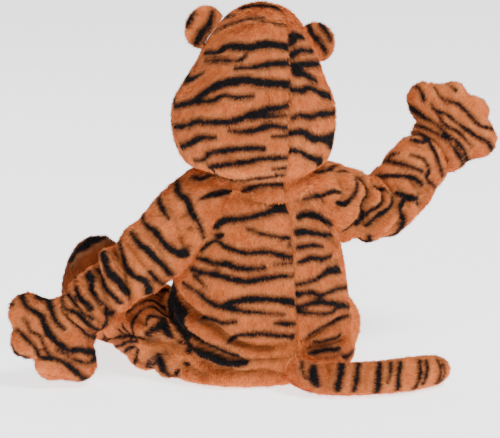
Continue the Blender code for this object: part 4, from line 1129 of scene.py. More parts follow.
# Stripes of the hidden sides, made up: the three widths in millimetres, then places in the skin's units
HIDDEN_STRIPES = {
    "hood_front": (
        (5.0, 7.0, 4.0, ((96, 372), (112, 376), (128, 384))),
        (4.0, 6.5, 4.0, ((94, 345), (110, 343), (128, 350))),
        (5.0, 7.0, 4.0, ((98, 318), (116, 312), (131, 314))),
        (4.0, 6.0, 3.0, ((94, 292), (112, 284), (132, 280))),
        (4.0, 6.0, 4.0, ((100, 262), (122, 256), (146, 258))),
        (4.0, 5.0, 3.0, ((110, 240), (135, 236), (160, 240))),
        (4.0, 7.0, 4.0, ((265, 378), (246, 373), (232, 378))),
        (5.0, 7.0, 4.0, ((262, 352), (248, 354), (232, 346))),
        (4.0, 6.0, 4.0, ((266, 326), (250, 320), (228, 322))),
        (4.0, 7.0, 3.0, ((262, 298), (244, 292), (230, 294))),
        (4.0, 6.0, 4.0, ((264, 270), (240, 262), (216, 258))),
        (4.0, 5.0, 3.0, ((250, 246), (226, 240), (202, 244))),
        (3.0, 7.0, 3.0, ((180, 418), (182, 446))),
        (3.0, 6.0, 3.0, ((163, 420), (156, 438), (146, 452))),
        (3.0, 6.0, 3.0, ((197, 420), (205, 440), (216, 453))),
        (4.0, 6.0, 4.0, ((112, 424), (136, 462), (180, 474), (206, 466))),
        (3.0, 5.0, 3.0, ((246, 420), (232, 440), (226, 458))),
    ),
    "front_left": (
        (4.0, 7.0, 3.0, ((92, 222), (112, 228), (130, 224))),
        (3.0, 6.0, 5.0, ((172, 212), (155, 206), (138, 210))),
        (5.0, 7.0, 3.0, ((90, 196), (108, 190), (128, 193), (142, 188))),
        (3.0, 6.0, 6.0, ((172, 182), (158, 176), (144, 170))),
        (4.0, 8.0, 4.0, ((92, 168), (110, 160), (132, 158))),
        (3.0, 6.0, 5.0, ((172, 150), (154, 146), (134, 140), (120, 142))),
        (5.0, 8.0, 4.0, ((90, 136), (104, 128), (122, 122))),
        (3.0, 6.0, 5.0, ((172, 118), (156, 114), (138, 108))),
        (4.0, 7.0, 3.0, ((92, 104), (108, 98), (126, 94), (140, 96))),
        (3.0, 6.0, 5.0, ((172, 88), (158, 82), (146, 84))),
        (4.0, 7.0, 4.0, ((94, 76), (112, 68), (134, 66))),
        (3.0, 5.0, 4.0, ((172, 60), (154, 54), (140, 56))),
    ),
    "front_right": (
        (4.0, 7.0, 3.0, ((267, 228), (250, 222), (232, 226))),
        (3.0, 6.0, 5.0, ((188, 216), (204, 212), (222, 206))),
        (5.0, 7.0, 3.0, ((269, 202), (248, 196), (226, 200))),
        (3.0, 6.0, 6.0, ((188, 188), (202, 184), (218, 176), (230, 178))),
        (4.0, 8.0, 4.0, ((268, 176), (250, 166), (234, 162))),
        (3.0, 6.0, 5.0, ((188, 156), (206, 150), (228, 148))),
        (5.0, 8.0, 4.0, ((269, 144), (252, 134), (232, 130), (216, 134))),
        (3.0, 6.0, 5.0, ((188, 124), (206, 120), (224, 112))),
        (4.0, 7.0, 3.0, ((267, 110), (250, 104), (234, 98))),
        (3.0, 6.0, 5.0, ((188, 94), (204, 88), (216, 90))),
        (4.0, 7.0, 4.0, ((266, 82), (246, 74), (226, 72))),
        (3.0, 5.0, 4.0, ((188, 64), (206, 58), (222, 62))),
    ),
    "front_placket": (
        (4.0, 5.0, 3.0, ((168, 214), (176, 217))),
        (3.0, 5.0, 4.0, ((192, 200), (180, 196), (172, 198))),
        (4.0, 5.0, 3.0, ((168, 180), (180, 176), (186, 178))),
        (3.0, 5.0, 4.0, ((192, 160), (182, 156))),
        (4.0, 5.0, 3.0, ((168, 146), (180, 142), (188, 144))),
        (3.0, 5.0, 4.0, ((192, 122), (182, 118), (174, 120))),
        (4.0, 5.0, 3.0, ((168, 104), (178, 100))),
        (3.0, 5.0, 4.0, ((192, 84), (180, 80), (172, 82))),
    ),
    "back_left": (
        (4.0, 7.0, 3.0, ((8, -8), (30, -14), (54, -6))),
        (4.0, 7.0, 3.0, ((30, -40), (54, -46), (80, -36))),
        (3.0, 6.0, 4.0, ((84, 228), (72, 233), (64, 230))),
    ),
    "back_right": (
        (4.0, 7.0, 4.0, ((-70, 178), (-82, 184), (-90, 180))),
        (4.0, 8.0, 4.0, ((-70, 150), (-80, 144), (-90, 148))),
        (4.0, 8.0, 4.0, ((-72, 122), (-82, 116), (-90, 120))),
        (4.0, 8.0, 4.0, ((-74, 98), (-84, 92), (-90, 94))),
        (5.0, 8.0, 4.0, ((-70, 66), (-80, 60), (-90, 62))),
        (4.0, 7.0, 3.0, ((-8, -6), (-30, -12), (-56, -4))),
        (4.0, 7.0, 3.0, ((-30, -38), (-54, -44), (-80, -36))),
    ),
    "sleeve_left": (
        (4.0, 8.0, 4.0, ((112, 50), (150, 58), (196, 54))),
        (3.0, 6.0, 4.0, ((236, 66), (206, 74), (176, 80))),
        (5.0, 8.0, 3.0, ((112, 92), (146, 100), (190, 92), (222, 98))),
        (3.0, 6.0, 5.0, ((246, 118), (210, 124), (168, 120))),
        (4.0, 8.0, 4.0, ((108, 138), (140, 138), (182, 146), (214, 140))),
        (3.0, 6.0, 4.0, ((250, 158), (218, 164), (180, 160))),
        (4.0, 7.0, 4.0, ((106, 180), (146, 176), (188, 182))),
        (3.0, 6.0, 4.0, ((244, 196), (206, 200), (170, 196), (130, 200))),
        (4.0, 7.0, 3.0, ((108, 222), (150, 218), (196, 224))),
        (3.0, 5.0, 4.0, ((240, 238), (204, 242), (160, 240))),
    ),
    "sleeve_right": (
        (4.0, 8.0, 4.0, ((244, 60), (210, 66), (170, 62))),
        (3.0, 6.0, 4.0, ((110, 76), (146, 82), (182, 86))),
        (5.0, 8.0, 3.0, ((250, 96), (214, 104), (170, 100), (140, 104))),
        (3.0, 6.0, 5.0, ((108, 118), (148, 124), (188, 120))),
        (4.0, 8.0, 4.0, ((240, 138), (204, 144), (170, 140))),
        (3.0, 6.0, 4.0, ((104, 158), (140, 162), (176, 158))),
        (4.0, 7.0, 4.0, ((246, 174), (206, 180), (166, 176), (136, 180))),
        (3.0, 6.0, 4.0, ((98, 196), (136, 200), (172, 196))),
        (4.0, 7.0, 3.0, ((242, 214), (204, 218), (160, 214))),
        (3.0, 5.0, 4.0, ((106, 230), (146, 236), (190, 232))),
        (3.0, 6.0, 4.0, ((52, 60), (76, 66), (100, 60))),
        (3.0, 6.0, 4.0, ((86, 112), (66, 118), (46, 114))),
    ),
    "leg_left": (
        (4.0, 7.0, 5.0, ((-28, 42), (6, 48), (44, 40), (84, 46))),
        (3.0, 6.0, 4.0, ((92, 70), (52, 76), (14, 70))),
        (4.0, 8.0, 4.0, ((-24, 100), (10, 106), (50, 98))),
        (3.0, 6.0, 5.0, ((98, 122), (60, 128), (20, 122), (-14, 128))),
        (5.0, 8.0, 4.0, ((-66, 140), (-30, 148), (6, 144), (40, 150))),
        (3.0, 6.0, 4.0, ((100, 166), (64, 172), (26, 166))),
        (4.0, 8.0, 4.0, ((-80, 176), (-44, 184), (-6, 178), (30, 186))),
        (3.0, 6.0, 5.0, ((96, 204), (56, 210), (12, 206), (-20, 212))),
        (4.0, 7.0, 4.0, ((-96, 208), (-60, 216), (-34, 214))),
    ),
    "leg_right": (
        (4.0, 7.0, 4.0, ((28, 46), (-6, 42), (-40, 48), (-82, 42))),
        (5.0, 8.0, 4.0, ((112, 60), (84, 66), (56, 60))),
        (3.0, 6.0, 4.0, ((-94, 72), (-56, 66), (-20, 72), (10, 68))),
        (4.0, 8.0, 4.0, ((126, 92), (92, 86), (60, 92), (34, 88))),
        (3.0, 6.0, 5.0, ((-98, 112), (-62, 104), (-24, 110))),
        (5.0, 8.0, 4.0, ((118, 120), (84, 116), (44, 124), (8, 118))),
        (3.0, 6.0, 4.0, ((-96, 146), (-58, 140), (-22, 146))),
        (4.0, 8.0, 4.0, ((122, 150), (88, 144), (52, 152))),
        (4.0, 7.0, 4.0, ((44, 172), (6, 166), (-34, 174), (-74, 168))),
        (5.0, 8.0, 4.0, ((120, 184), (90, 178), (62, 184))),
        (3.0, 6.0, 4.0, ((-90, 204), (-54, 198), (-18, 204), (14, 200))),
        (4.0, 7.0, 4.0, ((106, 212), (74, 206), (40, 212))),
    ),
    "paw_left_palm": (
        (4.0, 6.0, 3.0, ((-48, 34), (-26, 24), (-4, 28))),
        (4.0, 6.0, 3.0, ((50, 14), (28, 6), (8, 10))),
        (4.0, 6.0, 3.0, ((-50, 4), (-28, -6), (-6, -2))),
        (4.0, 6.0, 3.0, ((52, -18), (32, -28), (10, -24))),
        (4.0, 6.0, 3.0, ((-36, -26), (-14, -36), (8, -42))),
    ),
    "paw_right_palm": (
        (4.0, 6.0, 3.0, ((46, 36), (26, 28), (4, 32))),
        (4.0, 6.0, 3.0, ((-50, 18), (-28, 8), (-8, 12))),
        (4.0, 6.0, 3.0, ((50, 6), (28, -4), (8, 0))),
        (4.0, 6.0, 3.0, ((-50, -14), (-30, -24), (-8, -20))),
        (4.0, 6.0, 3.0, ((36, -30), (14, -38), (-8, -40))),
    ),
    "foot_left_upper": (
        (3.0, 6.0, 4.0, ((-46, -34), (-20, -26), (6, -30))),
        (4.0, 6.0, 3.0, ((42, -10), (18, -2), (-2, -8))),
    ),
    "foot_right_upper": (
        (4.0, 7.5, 5.0, ((-30, 52), (-2, 62), (30, 50))),
        (3.0, 6.0, 4.0, ((46, -34), (20, -26), (-6, -30))),
        (4.0, 6.0, 3.0, ((-42, -10), (-18, -2), (2, -8))),
    ),
}
# Creases as read off the photo: depth and width in millimetres before the two gains, whether the
# crease runs on past its ends, then the places (x, y) in pixels. A negative depth is a ridge
PHOTO_CREASES = {
    "hood": (
        (-1.5, 6, False, ((222, 166), (250, 170), (280, 172))),
        (1.5, 4, False, ((214, 150), (240, 160), (268, 166))),
        (1.2, 3, False, ((300, 140), (310, 155), (318, 168))),
    ),
    "body": (
        (2.2, 3.6, False, (
            (233, 194), (250, 200), (268, 203), (283, 205), (295, 203), (315, 201), (338, 198),
        )),
        (6.9, 5, False, (
            (166, 283), (178, 300), (190, 312), (209, 325), (232, 341), (262, 349), (299, 343),
        )),
        (5.6, 4.5, False, ((173, 319), (194, 337), (218, 353), (247, 361), (279, 361), (297, 355))),
        (6.2, 5, False, (
            (166, 325), (176, 340), (190, 355), (209, 366), (238, 372), (272, 374), (292, 374),
        )),
        (5.0, 4.5, False, ((162, 341), (173, 357), (190, 372), (212, 380))),
        (2.0, 5, False, ((196, 250), (206, 262), (222, 272))),
        (2.0, 4, False, ((205, 239), (214, 236), (226, 233))),
        (4.0, 4, False, ((299, 219), (315, 216), (328, 222), (338, 234))),
        (2.5, 4, False, ((322, 233), (334, 240), (345, 246))),
        (5.6, 4.5, False, ((298, 345), (320, 335), (338, 323), (352, 313))),
        (5.6, 4.5, False, ((300, 357), (315, 349), (338, 345), (352, 336))),
        (2.0, 4, False, ((348, 256), (335, 262), (322, 264))),
        (3.5, 4, False, ((314, 360), (336, 358), (350, 352))),
        (-3.4, 7, False, ((176, 310), (192, 326), (214, 340), (240, 351), (270, 355))),
        (-3.4, 6, False, ((170, 322), (184, 345), (204, 358), (230, 366), (262, 368))),
    ),
    "sleeve_left": (
        (4.2, 3, False, ((182, 231), (185, 244), (189, 248), (198, 247))),
        (2.5, 3, False, ((186, 231), (195, 226))),
        (2.5, 3, False, ((176, 222), (184, 214), (196, 208))),
        (6.0, 4, True, ((113, 249), (122, 268), (128, 286), (134, 303))),
        (-3.0, 6, True, ((104, 254), (112, 274), (120, 290), (128, 300))),
        (5.4, 4, True, ((95, 264), (101, 284), (109, 303), (124, 317))),
        (4.2, 3.5, True, ((84, 274), (90, 292), (98, 306), (112, 320))),
        (3.0, 3, True, ((74, 284), (80, 299), (90, 313), (104, 326))),
        (3.0, 3, True, ((66, 290), (74, 305), (84, 318), (100, 333))),
        (2.0, 4, True, ((150, 236), (160, 252), (168, 272))),
        (2.0, 4, True, ((130, 246), (142, 262), (154, 280))),
        (1.8, 4, True, ((168, 206), (176, 220), (182, 240))),
    ),
    "sleeve_right": (
        (6.0, 4, True, ((360, 174), (369, 190), (365, 203), (362, 218), (353, 229))),
        (5.4, 4, True, ((374, 183), (384, 196), (378, 208), (369, 218), (362, 228))),
        (4.8, 4, True, ((386, 184), (395, 196), (392, 210), (380, 222), (372, 230))),
        (4.2, 4, True, ((398, 187), (408, 200), (404, 214), (396, 226))),
        (3.0, 3.5, True, ((408, 180), (418, 190), (421, 204))),
        (2.0, 4, True, ((338, 176), (345, 190), (340, 204), (330, 214))),
        (2.5, 3.5, True, ((424, 172), (428, 186), (424, 206))),
        (-2.5, 5, True, ((366, 178), (375, 192), (371, 206), (364, 222))),
        (-2.5, 5, True, ((391, 184), (402, 198), (398, 212), (388, 226))),
        (2.0, 3, False, ((404, 140), (420, 146), (436, 152))),
    ),
    "leg_left": (
        (3.0, 4, False, ((139, 341), (146, 339), (153, 336))),
        (3.0, 4, False, ((117, 362), (123, 357), (131, 348))),
        (2.5, 4, False, ((128, 312), (140, 322), (150, 330))),
        (2.5, 4, False, ((134, 375), (142, 366), (152, 362))),
        (5.0, 4.5, False, ((163, 286), (160, 300), (159, 313), (160, 330), (158, 345))),
        (4.5, 4, False, ((153, 336), (153, 350), (154, 366))),
        (4.5, 4, False, ((104, 344), (113, 337), (126, 334), (138, 336))),
        (4.0, 4, False, ((136, 346), (133, 358), (133, 372))),
        (4.5, 4.5, False, ((160, 300), (172, 312), (185, 325))),
        (4.5, 4.5, False, ((163, 325), (176, 340), (190, 354))),
    ),
    "tail": (
        (2.0, 4, False, ((328, 362), (330, 376), (327, 391))),
        (1.5, 4, False, ((369, 362), (367, 378), (364, 393))),
    ),
}
# Creases of the hidden sides, made up: depth, width, then places in the skin's units
HIDDEN_CREASES = {
    "body": (
        (2.5, 4, ((100, 214), (122, 206), (140, 210))),
        (3.0, 5, ((262, 210), (240, 202), (222, 206))),
        (3.0, 5, ((96, 120), (118, 108), (146, 104), (170, 108))),
        (3.5, 5, ((264, 112), (240, 100), (212, 98), (190, 104))),
        (3.0, 5, ((92, 84), (120, 70), (150, 66), (176, 70))),
        (3.0, 5, ((266, 78), (240, 66), (210, 62), (186, 68))),
        (2.0, 5, ((98, 176), (120, 168), (150, 172))),
        (2.0, 5, ((262, 160), (240, 152), (214, 156))),
    ),
    "sleeve_left": (
        (4.0, 4, ((110, 70), (150, 78), (190, 74))),
        (3.5, 4, ((236, 92), (200, 98), (160, 94))),
        (4.0, 4, ((104, 150), (150, 156), (200, 150))),
        (3.5, 4, ((250, 184), (204, 190), (160, 184))),
        (3.5, 3.5, ((110, 214), (160, 210), (210, 216))),
        (3.0, 3, ((240, 230), (196, 234), (150, 230))),
    ),
    "sleeve_right": (
        (4.0, 4, ((60, 84), (96, 90), (140, 84), (176, 90))),
        (4.5, 4, ((50, 104), (90, 110), (130, 106))),
        (4.0, 4, ((60, 128), (100, 134), (150, 128), (190, 134))),
        (3.5, 4, ((250, 88), (214, 94), (176, 98))),
        (3.0, 4, ((240, 160), (200, 166), (160, 160))),
        (3.0, 3, ((236, 206), (190, 212), (140, 206))),
    ),
    "leg_left": (
        (4.0, 5, ((-50, 60), (-10, 50), (30, 58), (70, 50))),
        (3.0, 5, ((90, 96), (50, 90), (0, 98))),
        (3.0, 4, ((-90, 190), (-40, 198), (10, 192), (60, 198))),
        (2.5, 4, ((80, 214), (30, 220), (-30, 214))),
        (2.5, 5, ((-40, 120), (0, 114), (40, 122))),
    ),
    "leg_right": (
        (4.0, 5, ((56, 60), (14, 50), (-26, 58), (-66, 52))),
        (3.0, 5, ((110, 90), (70, 98), (30, 90))),
        (3.0, 5, ((-86, 100), (-46, 94), (-6, 100))),
        (2.5, 5, ((100, 140), (60, 132), (10, 140))),
        (3.0, 4, ((90, 192), (40, 198), (-10, 192), (-60, 198))),
        (2.5, 4, ((-80, 214), (-30, 220), (30, 214))),
    ),
}
# How much deeper and wider the creases are made than they were first set down
DEPTH_GAIN = 2.1
WIDTH_GAIN = 1.7
RUN_ON = 0.3


def dress(
    settings, wrap, rust=False, nap=None,
    inset=INSET, walled=True, chart=None, seed=1,
):
    """Dresses all the nodes that a wrap covers."""
    cloth = wrap.cloth(inset, nap)
    if chart is not None:
        cloth.chart = chart(cloth.points)
        cloth.scale = np.ones(len(cloth.points))
    materials = plush_set(settings, rust)
    for number, (node, quads) in enumerate(panels_of(wrap, cloth).items()):
        dress_panel(
            settings, node, cloth, quads, stripe_table().get(node, ()),
            materials, seed * 10 + number, walled,
        )


def plane_chart(middle, across, upward):
    """Chart places in a pad's own plane, in millimetres from its middle."""
    centre = place(middle)
    across = unit(np.array(across, float))
    upward = unit(np.array(upward, float))

    def chart(points):
        return np.stack(((points - centre) @ across, (points - centre) @ upward), axis=1) / MM

    return chart


def hood_wrap():
    wrap = Wrap(
        ("hood_back_left", "hood_back_right", "hood_front"),
        HOOD_LINE, (0.0, 1.0, 0.0), 4.0, 160, 150.0,
        caps=(66.0, 0.0), mark=(404.0, -1.0),
    )
    wrap.blur(3)
    wrap.opening = FACE_OPENING
    return wrap


def body_wrap():
    wrap = Wrap(
        ("back_left", "back_right", "front_left", "front_right"),
        BODY_LINE, (0.0, 1.0, 0.0), 3.2, 200, 170.0,
        caps=(0.0, 105.0), mark=(252.0, -1.0),
    )
    wrap.blur(3)
    wrap.extend(2)
    return wrap


def sleeve_wrap(side):
    line = LEFT_SLEEVE_LINE if side == "left" else RIGHT_SLEEVE_LINE
    wrap = Wrap((f"sleeve_{side}",), line, (0.0, 1.0, 0.0), 3.6, 76, 90.0)
    wrap.blur(2)
    wrap.extend(2)
    return wrap


def leg_wrap(side):
    line = LEFT_LEG_LINE if side == "left" else mirrored(LEFT_LEG_LINE)
    wrap = Wrap((f"leg_{side}",), line, (0.0, 0.0, 1.0), 4.2, 80, 105.0)
    wrap.blur(2)
    wrap.extend(2)
    return wrap


def tail_wrap():
    wrap = Wrap(("tail",), TAIL_LINE, (0.0, 0.0, 1.0), 3.4, 38, 60.0, caps=(0.0, 19.0))
    wrap.blur(1)
    wrap.extend(2)
    return wrap


PAW_MIDDLES = {"left": (262.0, -22.0, 62.0), "right": (-262.0, -8.0, 291.0)}
PAW_FACING = np.array((0.33, 0.92, 0.20))
PAW_ACROSS = np.cross((0.0, 0.0, 1.0), PAW_FACING)
PAW_UPWARD = np.cross(PAW_FACING, PAW_ACROSS)
PAW_NAPS = {"left": (0.75, 0.0, -0.65), "right": (-0.65, 0.0, 0.75)}


def paw_wrap(side):
    middle = np.array(PAW_MIDDLES[side])
    away = PAW_FACING / np.linalg.norm(PAW_FACING)
    wrap = Wrap(
        (f"paw_{side}_back", f"paw_{side}_palm"), (middle + away, middle - away),
        (0.0, 0.0, 1.0), 4.4, 96, 95.0, caps=(62.0, 62.0),
    )
    wrap.blur(1)
    wrap.extend(1)
    return wrap


FOOT_MIDDLES = {"left": (149.0, -240.0, 67.0), "right": (4.0 - 145.0 * RIGHT_LEG_SPREAD, -240.0, 67.0)}


def foot_wrap(side):
    middle = np.array(FOOT_MIDDLES[side])
    tip = 1.0 if side == "left" else -1.0
    up = np.array((-0.16 * tip, 0.0, 1.0))
    wrap = Wrap(
        (f"foot_{side}_upper", f"foot_{side}_sole"), (middle - up * 23.0, middle + up * 24.0),
        (-0.18 * tip, 0.98, 0.06), 4.6, 62, 95.0, caps=(44.0, 44.0),
    )
    wrap.blur(2)
    wrap.extend(1)
    return wrap


def foot_chart(side):
    """Chart places in the plane that a bootie's upper faces."""
    tip = 1.0 if side == "left" else -1.0
    upward = np.array((-0.16 * tip, 0.0, 1.0))
    return plane_chart(FOOT_MIDDLES[side], np.cross(upward, (-0.18 * tip, 0.98, 0.06)), upward)


EARS = {
    "left": ((51.0, -18.0, 424.0), (0.86, -0.10, 0.51)),
    "right": ((-65.5, -18.0, 397.5), (-0.79, -0.10, 0.61)),
}

PHOTO_SIZE = (500.0, 438.0)
# How far round a reading the sight line is tried, in pixels, until it meets the piece
SEARCH_RINGS = (0.0, 1.5, 3.0, 4.5, 6.0, 8.0, 10.0, 13.0)


def sight_line(x, y):
    """The camera's place and the way from it through a pixel of the photo."""
    turn = math.radians(CAMERA_AZIMUTH)
    rise = math.radians(CAMERA_ELEVATION)
    back = np.array((math.sin(turn) * math.cos(rise), -math.cos(turn) * math.cos(rise), math.sin(rise)))
    right = unit(np.cross(-back, (0.0, 0.0, 1.0)))
    up = np.cross(right, -back)
    pixel = VIEW_WIDTH / PHOTO_SIZE[0]
    across = right * (x - PHOTO_SIZE[0] / 2.0) * pixel
    upward = up * (PHOTO_SIZE[1] / 2.0 - y) * pixel
    return place(CAMERA_TARGET) + back * CAMERA_DISTANCE, unit(across + upward - back * CAMERA_DISTANCE)


def nodes_read(kind):
    """The nodes that the readings of one kind lie on."""
    wide = {
        "hood": ("hood_back_left", "hood_back_right", "hood_front"),
        "body": ("back_left", "back_right"),
    }
    part, _, side = kind.partition("_")
    single = {"paw": "_back", "foot": "_upper", "ear": "_back"}
    return wide.get(kind, (kind + single.get(part, ""),))


@cache
def tree_read(nodes):
    """The joined solids of some nodes, for sight lines."""
    return joined_tree(nodes)


def meet(x, y, nodes):
    """Where a pixel's sight line meets the nodes, or the nearest one round it that does, and which node."""
    tree, owners = tree_read(nodes)
    for ring in SEARCH_RINGS:
        for turn in range(0, 360, 30 if ring else 360):
            eye, way = sight_line(x + ring * np.cos(np.radians(turn)), y + ring * np.sin(np.radians(turn)))
            spot, _, face, _ = tree.ray_cast(Vector(eye), Vector(way), 10.0)
            if spot is not None:
                return np.array(spot), nodes[owners[face]]
    return None


class WrapUnits:
    """Finds the angle and the mark of a place on a wrap, from the four nearest of its points."""

    def __init__(self, wrap):
        points = wrap.centres[:, None, :] + wrap.ways * wrap.reach[..., None]
        known = ~np.isnan(points[..., 0])
        self.angles = np.broadcast_to(wrap.angles, wrap.reach.shape)[known]
        self.marks = np.broadcast_to(wrap.marks[:, None], wrap.reach.shape)[known]
        self.tree = KDTree(int(known.sum()))
        for number, point in enumerate(points[known]):
            self.tree.insert(Vector(point), number)
        self.tree.balance()

    def __call__(self, spot):
        found = self.tree.find_n(Vector(spot), 4)
        share = np.array([1.0 / (row[2] ** 2 + 1e-8) for row in found])
        share /= share.sum()
        rows = [row[1] for row in found]
        turn = np.radians(self.angles[rows])
        angle = np.degrees(np.arctan2((share * np.sin(turn)).sum(), (share * np.cos(turn)).sum()))
        return angle, (share * self.marks[rows]).sum()


@cache
def units_of(kind):
    """What turns a place on a piece into the units of its skin."""
    part, _, side = kind.partition("_")
    if part in ("paw", "foot", "ear"):
        if part == "foot":
            chart = foot_chart(side)
        elif part == "paw":
            chart = plane_chart(PAW_MIDDLES[side], PAW_ACROSS, PAW_UPWARD)
        else:
            base, up = EARS[side]
            chart = plane_chart(base, np.cross(up, (0.0, 1.0, 0.0)), up)
        return lambda spot: tuple(chart(np.array(spot)[None])[0])
    wraps = {"hood": hood_wrap, "body": body_wrap, "tail": tail_wrap}
    sided = {"sleeve": sleeve_wrap, "leg": leg_wrap}
    return WrapUnits(sided[part](side) if part in sided else wraps[part]())


def on_skin(kind, readings):
    """Readings of the photo as whole units of the piece's skin, and the nodes that they lie on."""
    find = units_of(kind)
    flat = kind.startswith(("paw", "ear", "foot"))
    points, met = [], []
    for x, y in readings:
        found = meet(x, y, nodes_read(kind))
        if found is None:
            continue
        angle, mark = find(found[0])
        if points and not flat:
            while angle - points[-1][0] > 180:
                angle -= 360
            while angle - points[-1][0] < -180:
                angle += 360
        points.append((int(round(angle)), int(round(mark))))
        met.append(found[1])
    kept = [point for number, point in enumerate(points) if number == 0 or point != points[number - 1]]
    return kept, met


def run_on(points):
    """A crease that goes on past both ends by a share of its length."""
    total = sum(math.dist(a, b) for a, b in zip(points, points[1:]))

    def past(end, before):
        run = math.dist(end, before) or 1.0
        return tuple(round(e + (e - b) / run * total * RUN_ON) for e, b in zip(end, before))

    return [past(points[0], points[1]), *points, past(points[-1], points[-2])]


@cache
def stripe_table():
    """The stripes of each node: first what the photo shows, then its hidden sides."""
    table = defaultdict(list)
    pixel = VIEW_WIDTH / PHOTO_SIZE[0] / MM
    for kind, rows in PHOTO_STRIPES.items():
        for start, middle, end, readings in rows:
            points, met = on_skin(kind, readings)
            if len(points) > 1:
                widths = [round(width * pixel * 2.0) / 2.0 for width in (start, middle, end)]
                table[Counter(met).most_common(1)[0][0]].append((*widths, tuple(points)))
    for node, rows in HIDDEN_STRIPES.items():
        table[node].extend(rows)
    return table


@cache
def crease_table():
    """The creases of each skin: first what the photo shows, then its hidden sides."""
    table = defaultdict(list)
    for kind, rows in PHOTO_CREASES.items():
        for depth, width, longer, readings in rows:
            points, _ = on_skin(kind, readings)
            if len(points) > 1:
                points = run_on(points) if longer else points
                table[kind].append((depth, width, tuple(points)))
    for kind, rows in HIDDEN_CREASES.items():
        table[kind].extend(rows)
    return {
        kind: [
            (round(depth * DEPTH_GAIN, 1), round(width * WIDTH_GAIN, 1), points)
            for depth, width, points in rows
        ]
        for kind, rows in table.items()
    }



def rounded_cloth(node, inset, levels, nap, chart):
    """A closed pad from its solid: its doubles merged, its edges rounded by subdivision."""
    bpy.ops.object.select_all(action="DESELECT")
    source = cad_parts[node]
    copy = bpy.data.objects.new(f"{node}_form", source.data.copy())
    bpy.context.scene.collection.objects.link(copy)
    copy.select_set(True)
    bpy.context.view_layer.objects.active = copy
    bpy.ops.object.mode_set(mode="EDIT")
    bpy.ops.mesh.select_all(action="SELECT")
    bpy.ops.mesh.remove_doubles(threshold=0.00005)
    bpy.ops.mesh.tris_convert_to_quads()
    bpy.ops.object.mode_set(mode="OBJECT")
    rounding = copy.modifiers.new("rounding", "SUBSURF")
    rounding.levels = levels
    rounding.render_levels = levels
    bpy.ops.object.modifier_apply(modifier=rounding.name)
    mesh = copy.data
    points = np.zeros(len(mesh.vertices) * 3, np.float32)
    mesh.vertices.foreach_get("co", points)
    points = points.reshape(-1, 3).astype(float)
    faces = [tuple(p.vertices) for p in mesh.polygons]
    quads = np.array([face if len(face) == 4 else (*face, face[-1]) for face in faces])
    normals = point_normals(points, quads)
    points = points - normals * inset * MM
    lie = np.broadcast_to(np.array(nap, float), points.shape)
    lie = unit(lie - np.sum(lie * normals, axis=1, keepdims=True) * normals)
    bpy.data.objects.remove(copy)
    return Cloth(points, normals, lie, chart(points), np.ones(len(points)), quads, np.zeros(len(points)))


class TIGER_OT_hood(bpy.types.Operator):
    """Dresses the hood: two back panels and the front round the face"""

    bl_idname = "tiger.hood"
    bl_label = "Hood"

    def execute(self, context):
        wrap = hood_wrap()
        press_seam(wrap, 0, HOOD_SEAMS["back"], 3.4, 2.8, low_y=5.0)
        press_seam(wrap, 1, HOOD_SEAMS["ears"], 3.0, 3.0)
        wrap.crease(crease_table().get("hood", ()))
        dress(context.scene.tiger_costume, wrap, seed=1)
        return {"FINISHED"}


class TIGER_OT_body(bpy.types.Operator):
    """Dresses the four panels of the body with the rolls in the seat"""

    bl_idname = "tiger.body"
    bl_label = "Body"

    def execute(self, context):
        wrap = body_wrap()
        press_seam(wrap, 0, BACK_SEAM, 3.8, 2.8, low_y=5.0)
        press_seam(wrap, 0, FRONT_SEAM, 2.0, 3.0, high_y=-5.0)
        press_seam(wrap, 1, SIDE_SEAM, 2.0, 3.0)
        wrap.crease(crease_table().get("body", ()))
        dress(context.scene.tiger_costume, wrap, seed=2)
        return {"FINISHED"}


class TIGER_OT_placket(bpy.types.Operator):
    """Dresses the strip that closes the front"""

    bl_idname = "tiger.placket"
    bl_label = "Closing strip"

    def execute(self, context):
        wrap = Wrap(
            ("front_placket",), ((4.0, 0.0, 240.0), (4.0, 0.0, 10.0)), (0.0, 1.0, 0.0), 3.6, 18, 150.0,
            mark=(240.0, -1.0), span=(168.0, 192.0),
        )
        wrap.blur(1)
        dress(context.scene.tiger_costume, wrap, seed=3, inset=2.6)
        return {"FINISHED"}


class TIGER_OT_sleeves(bpy.types.Operator):
    """Dresses both sleeves with their gathers"""

    bl_idname = "tiger.sleeves"
    bl_label = "Sleeves"

    def execute(self, context):
        for number, side in enumerate(("left", "right")):
            wrap = sleeve_wrap(side)
            wrap.crease(crease_table().get(f"sleeve_{side}", ()))
            dress(context.scene.tiger_costume, wrap, seed=4 + number)
        return {"FINISHED"}


class TIGER_OT_paws(bpy.types.Operator):
    """Dresses the mitten paws, back and palm"""

    bl_idname = "tiger.paws"
    bl_label = "Paws"

    def execute(self, context):
        for number, side in enumerate(("left", "right")):
            wrap = paw_wrap(side)
            chart = plane_chart(PAW_MIDDLES[side], PAW_ACROSS, PAW_UPWARD)
            dress(
                context.scene.tiger_costume, wrap, seed=6 + number, nap=PAW_NAPS[side], chart=chart,
            )
        return {"FINISHED"}


class TIGER_OT_legs(bpy.types.Operator):
    """Dresses both legs"""

    bl_idname = "tiger.legs"
    bl_label = "Legs"

    def execute(self, context):
        for number, side in enumerate(("left", "right")):
            wrap = leg_wrap(side)
            wrap.crease(crease_table().get(f"leg_{side}", ()))
            dress(context.scene.tiger_costume, wrap, seed=8 + number, inset=LEG_INSETS[side])
        return {"FINISHED"}


class TIGER_OT_booties(bpy.types.Operator):
    """Dresses the booties in rust plush"""

    bl_idname = "tiger.booties"
    bl_label = "Booties"

    def execute(self, context):
        for number, side in enumerate(("left", "right")):
            wrap = foot_wrap(side)
            dress(
                context.scene.tiger_costume, wrap, rust=True, seed=10 + number,
                chart=foot_chart(side),
            )
        return {"FINISHED"}


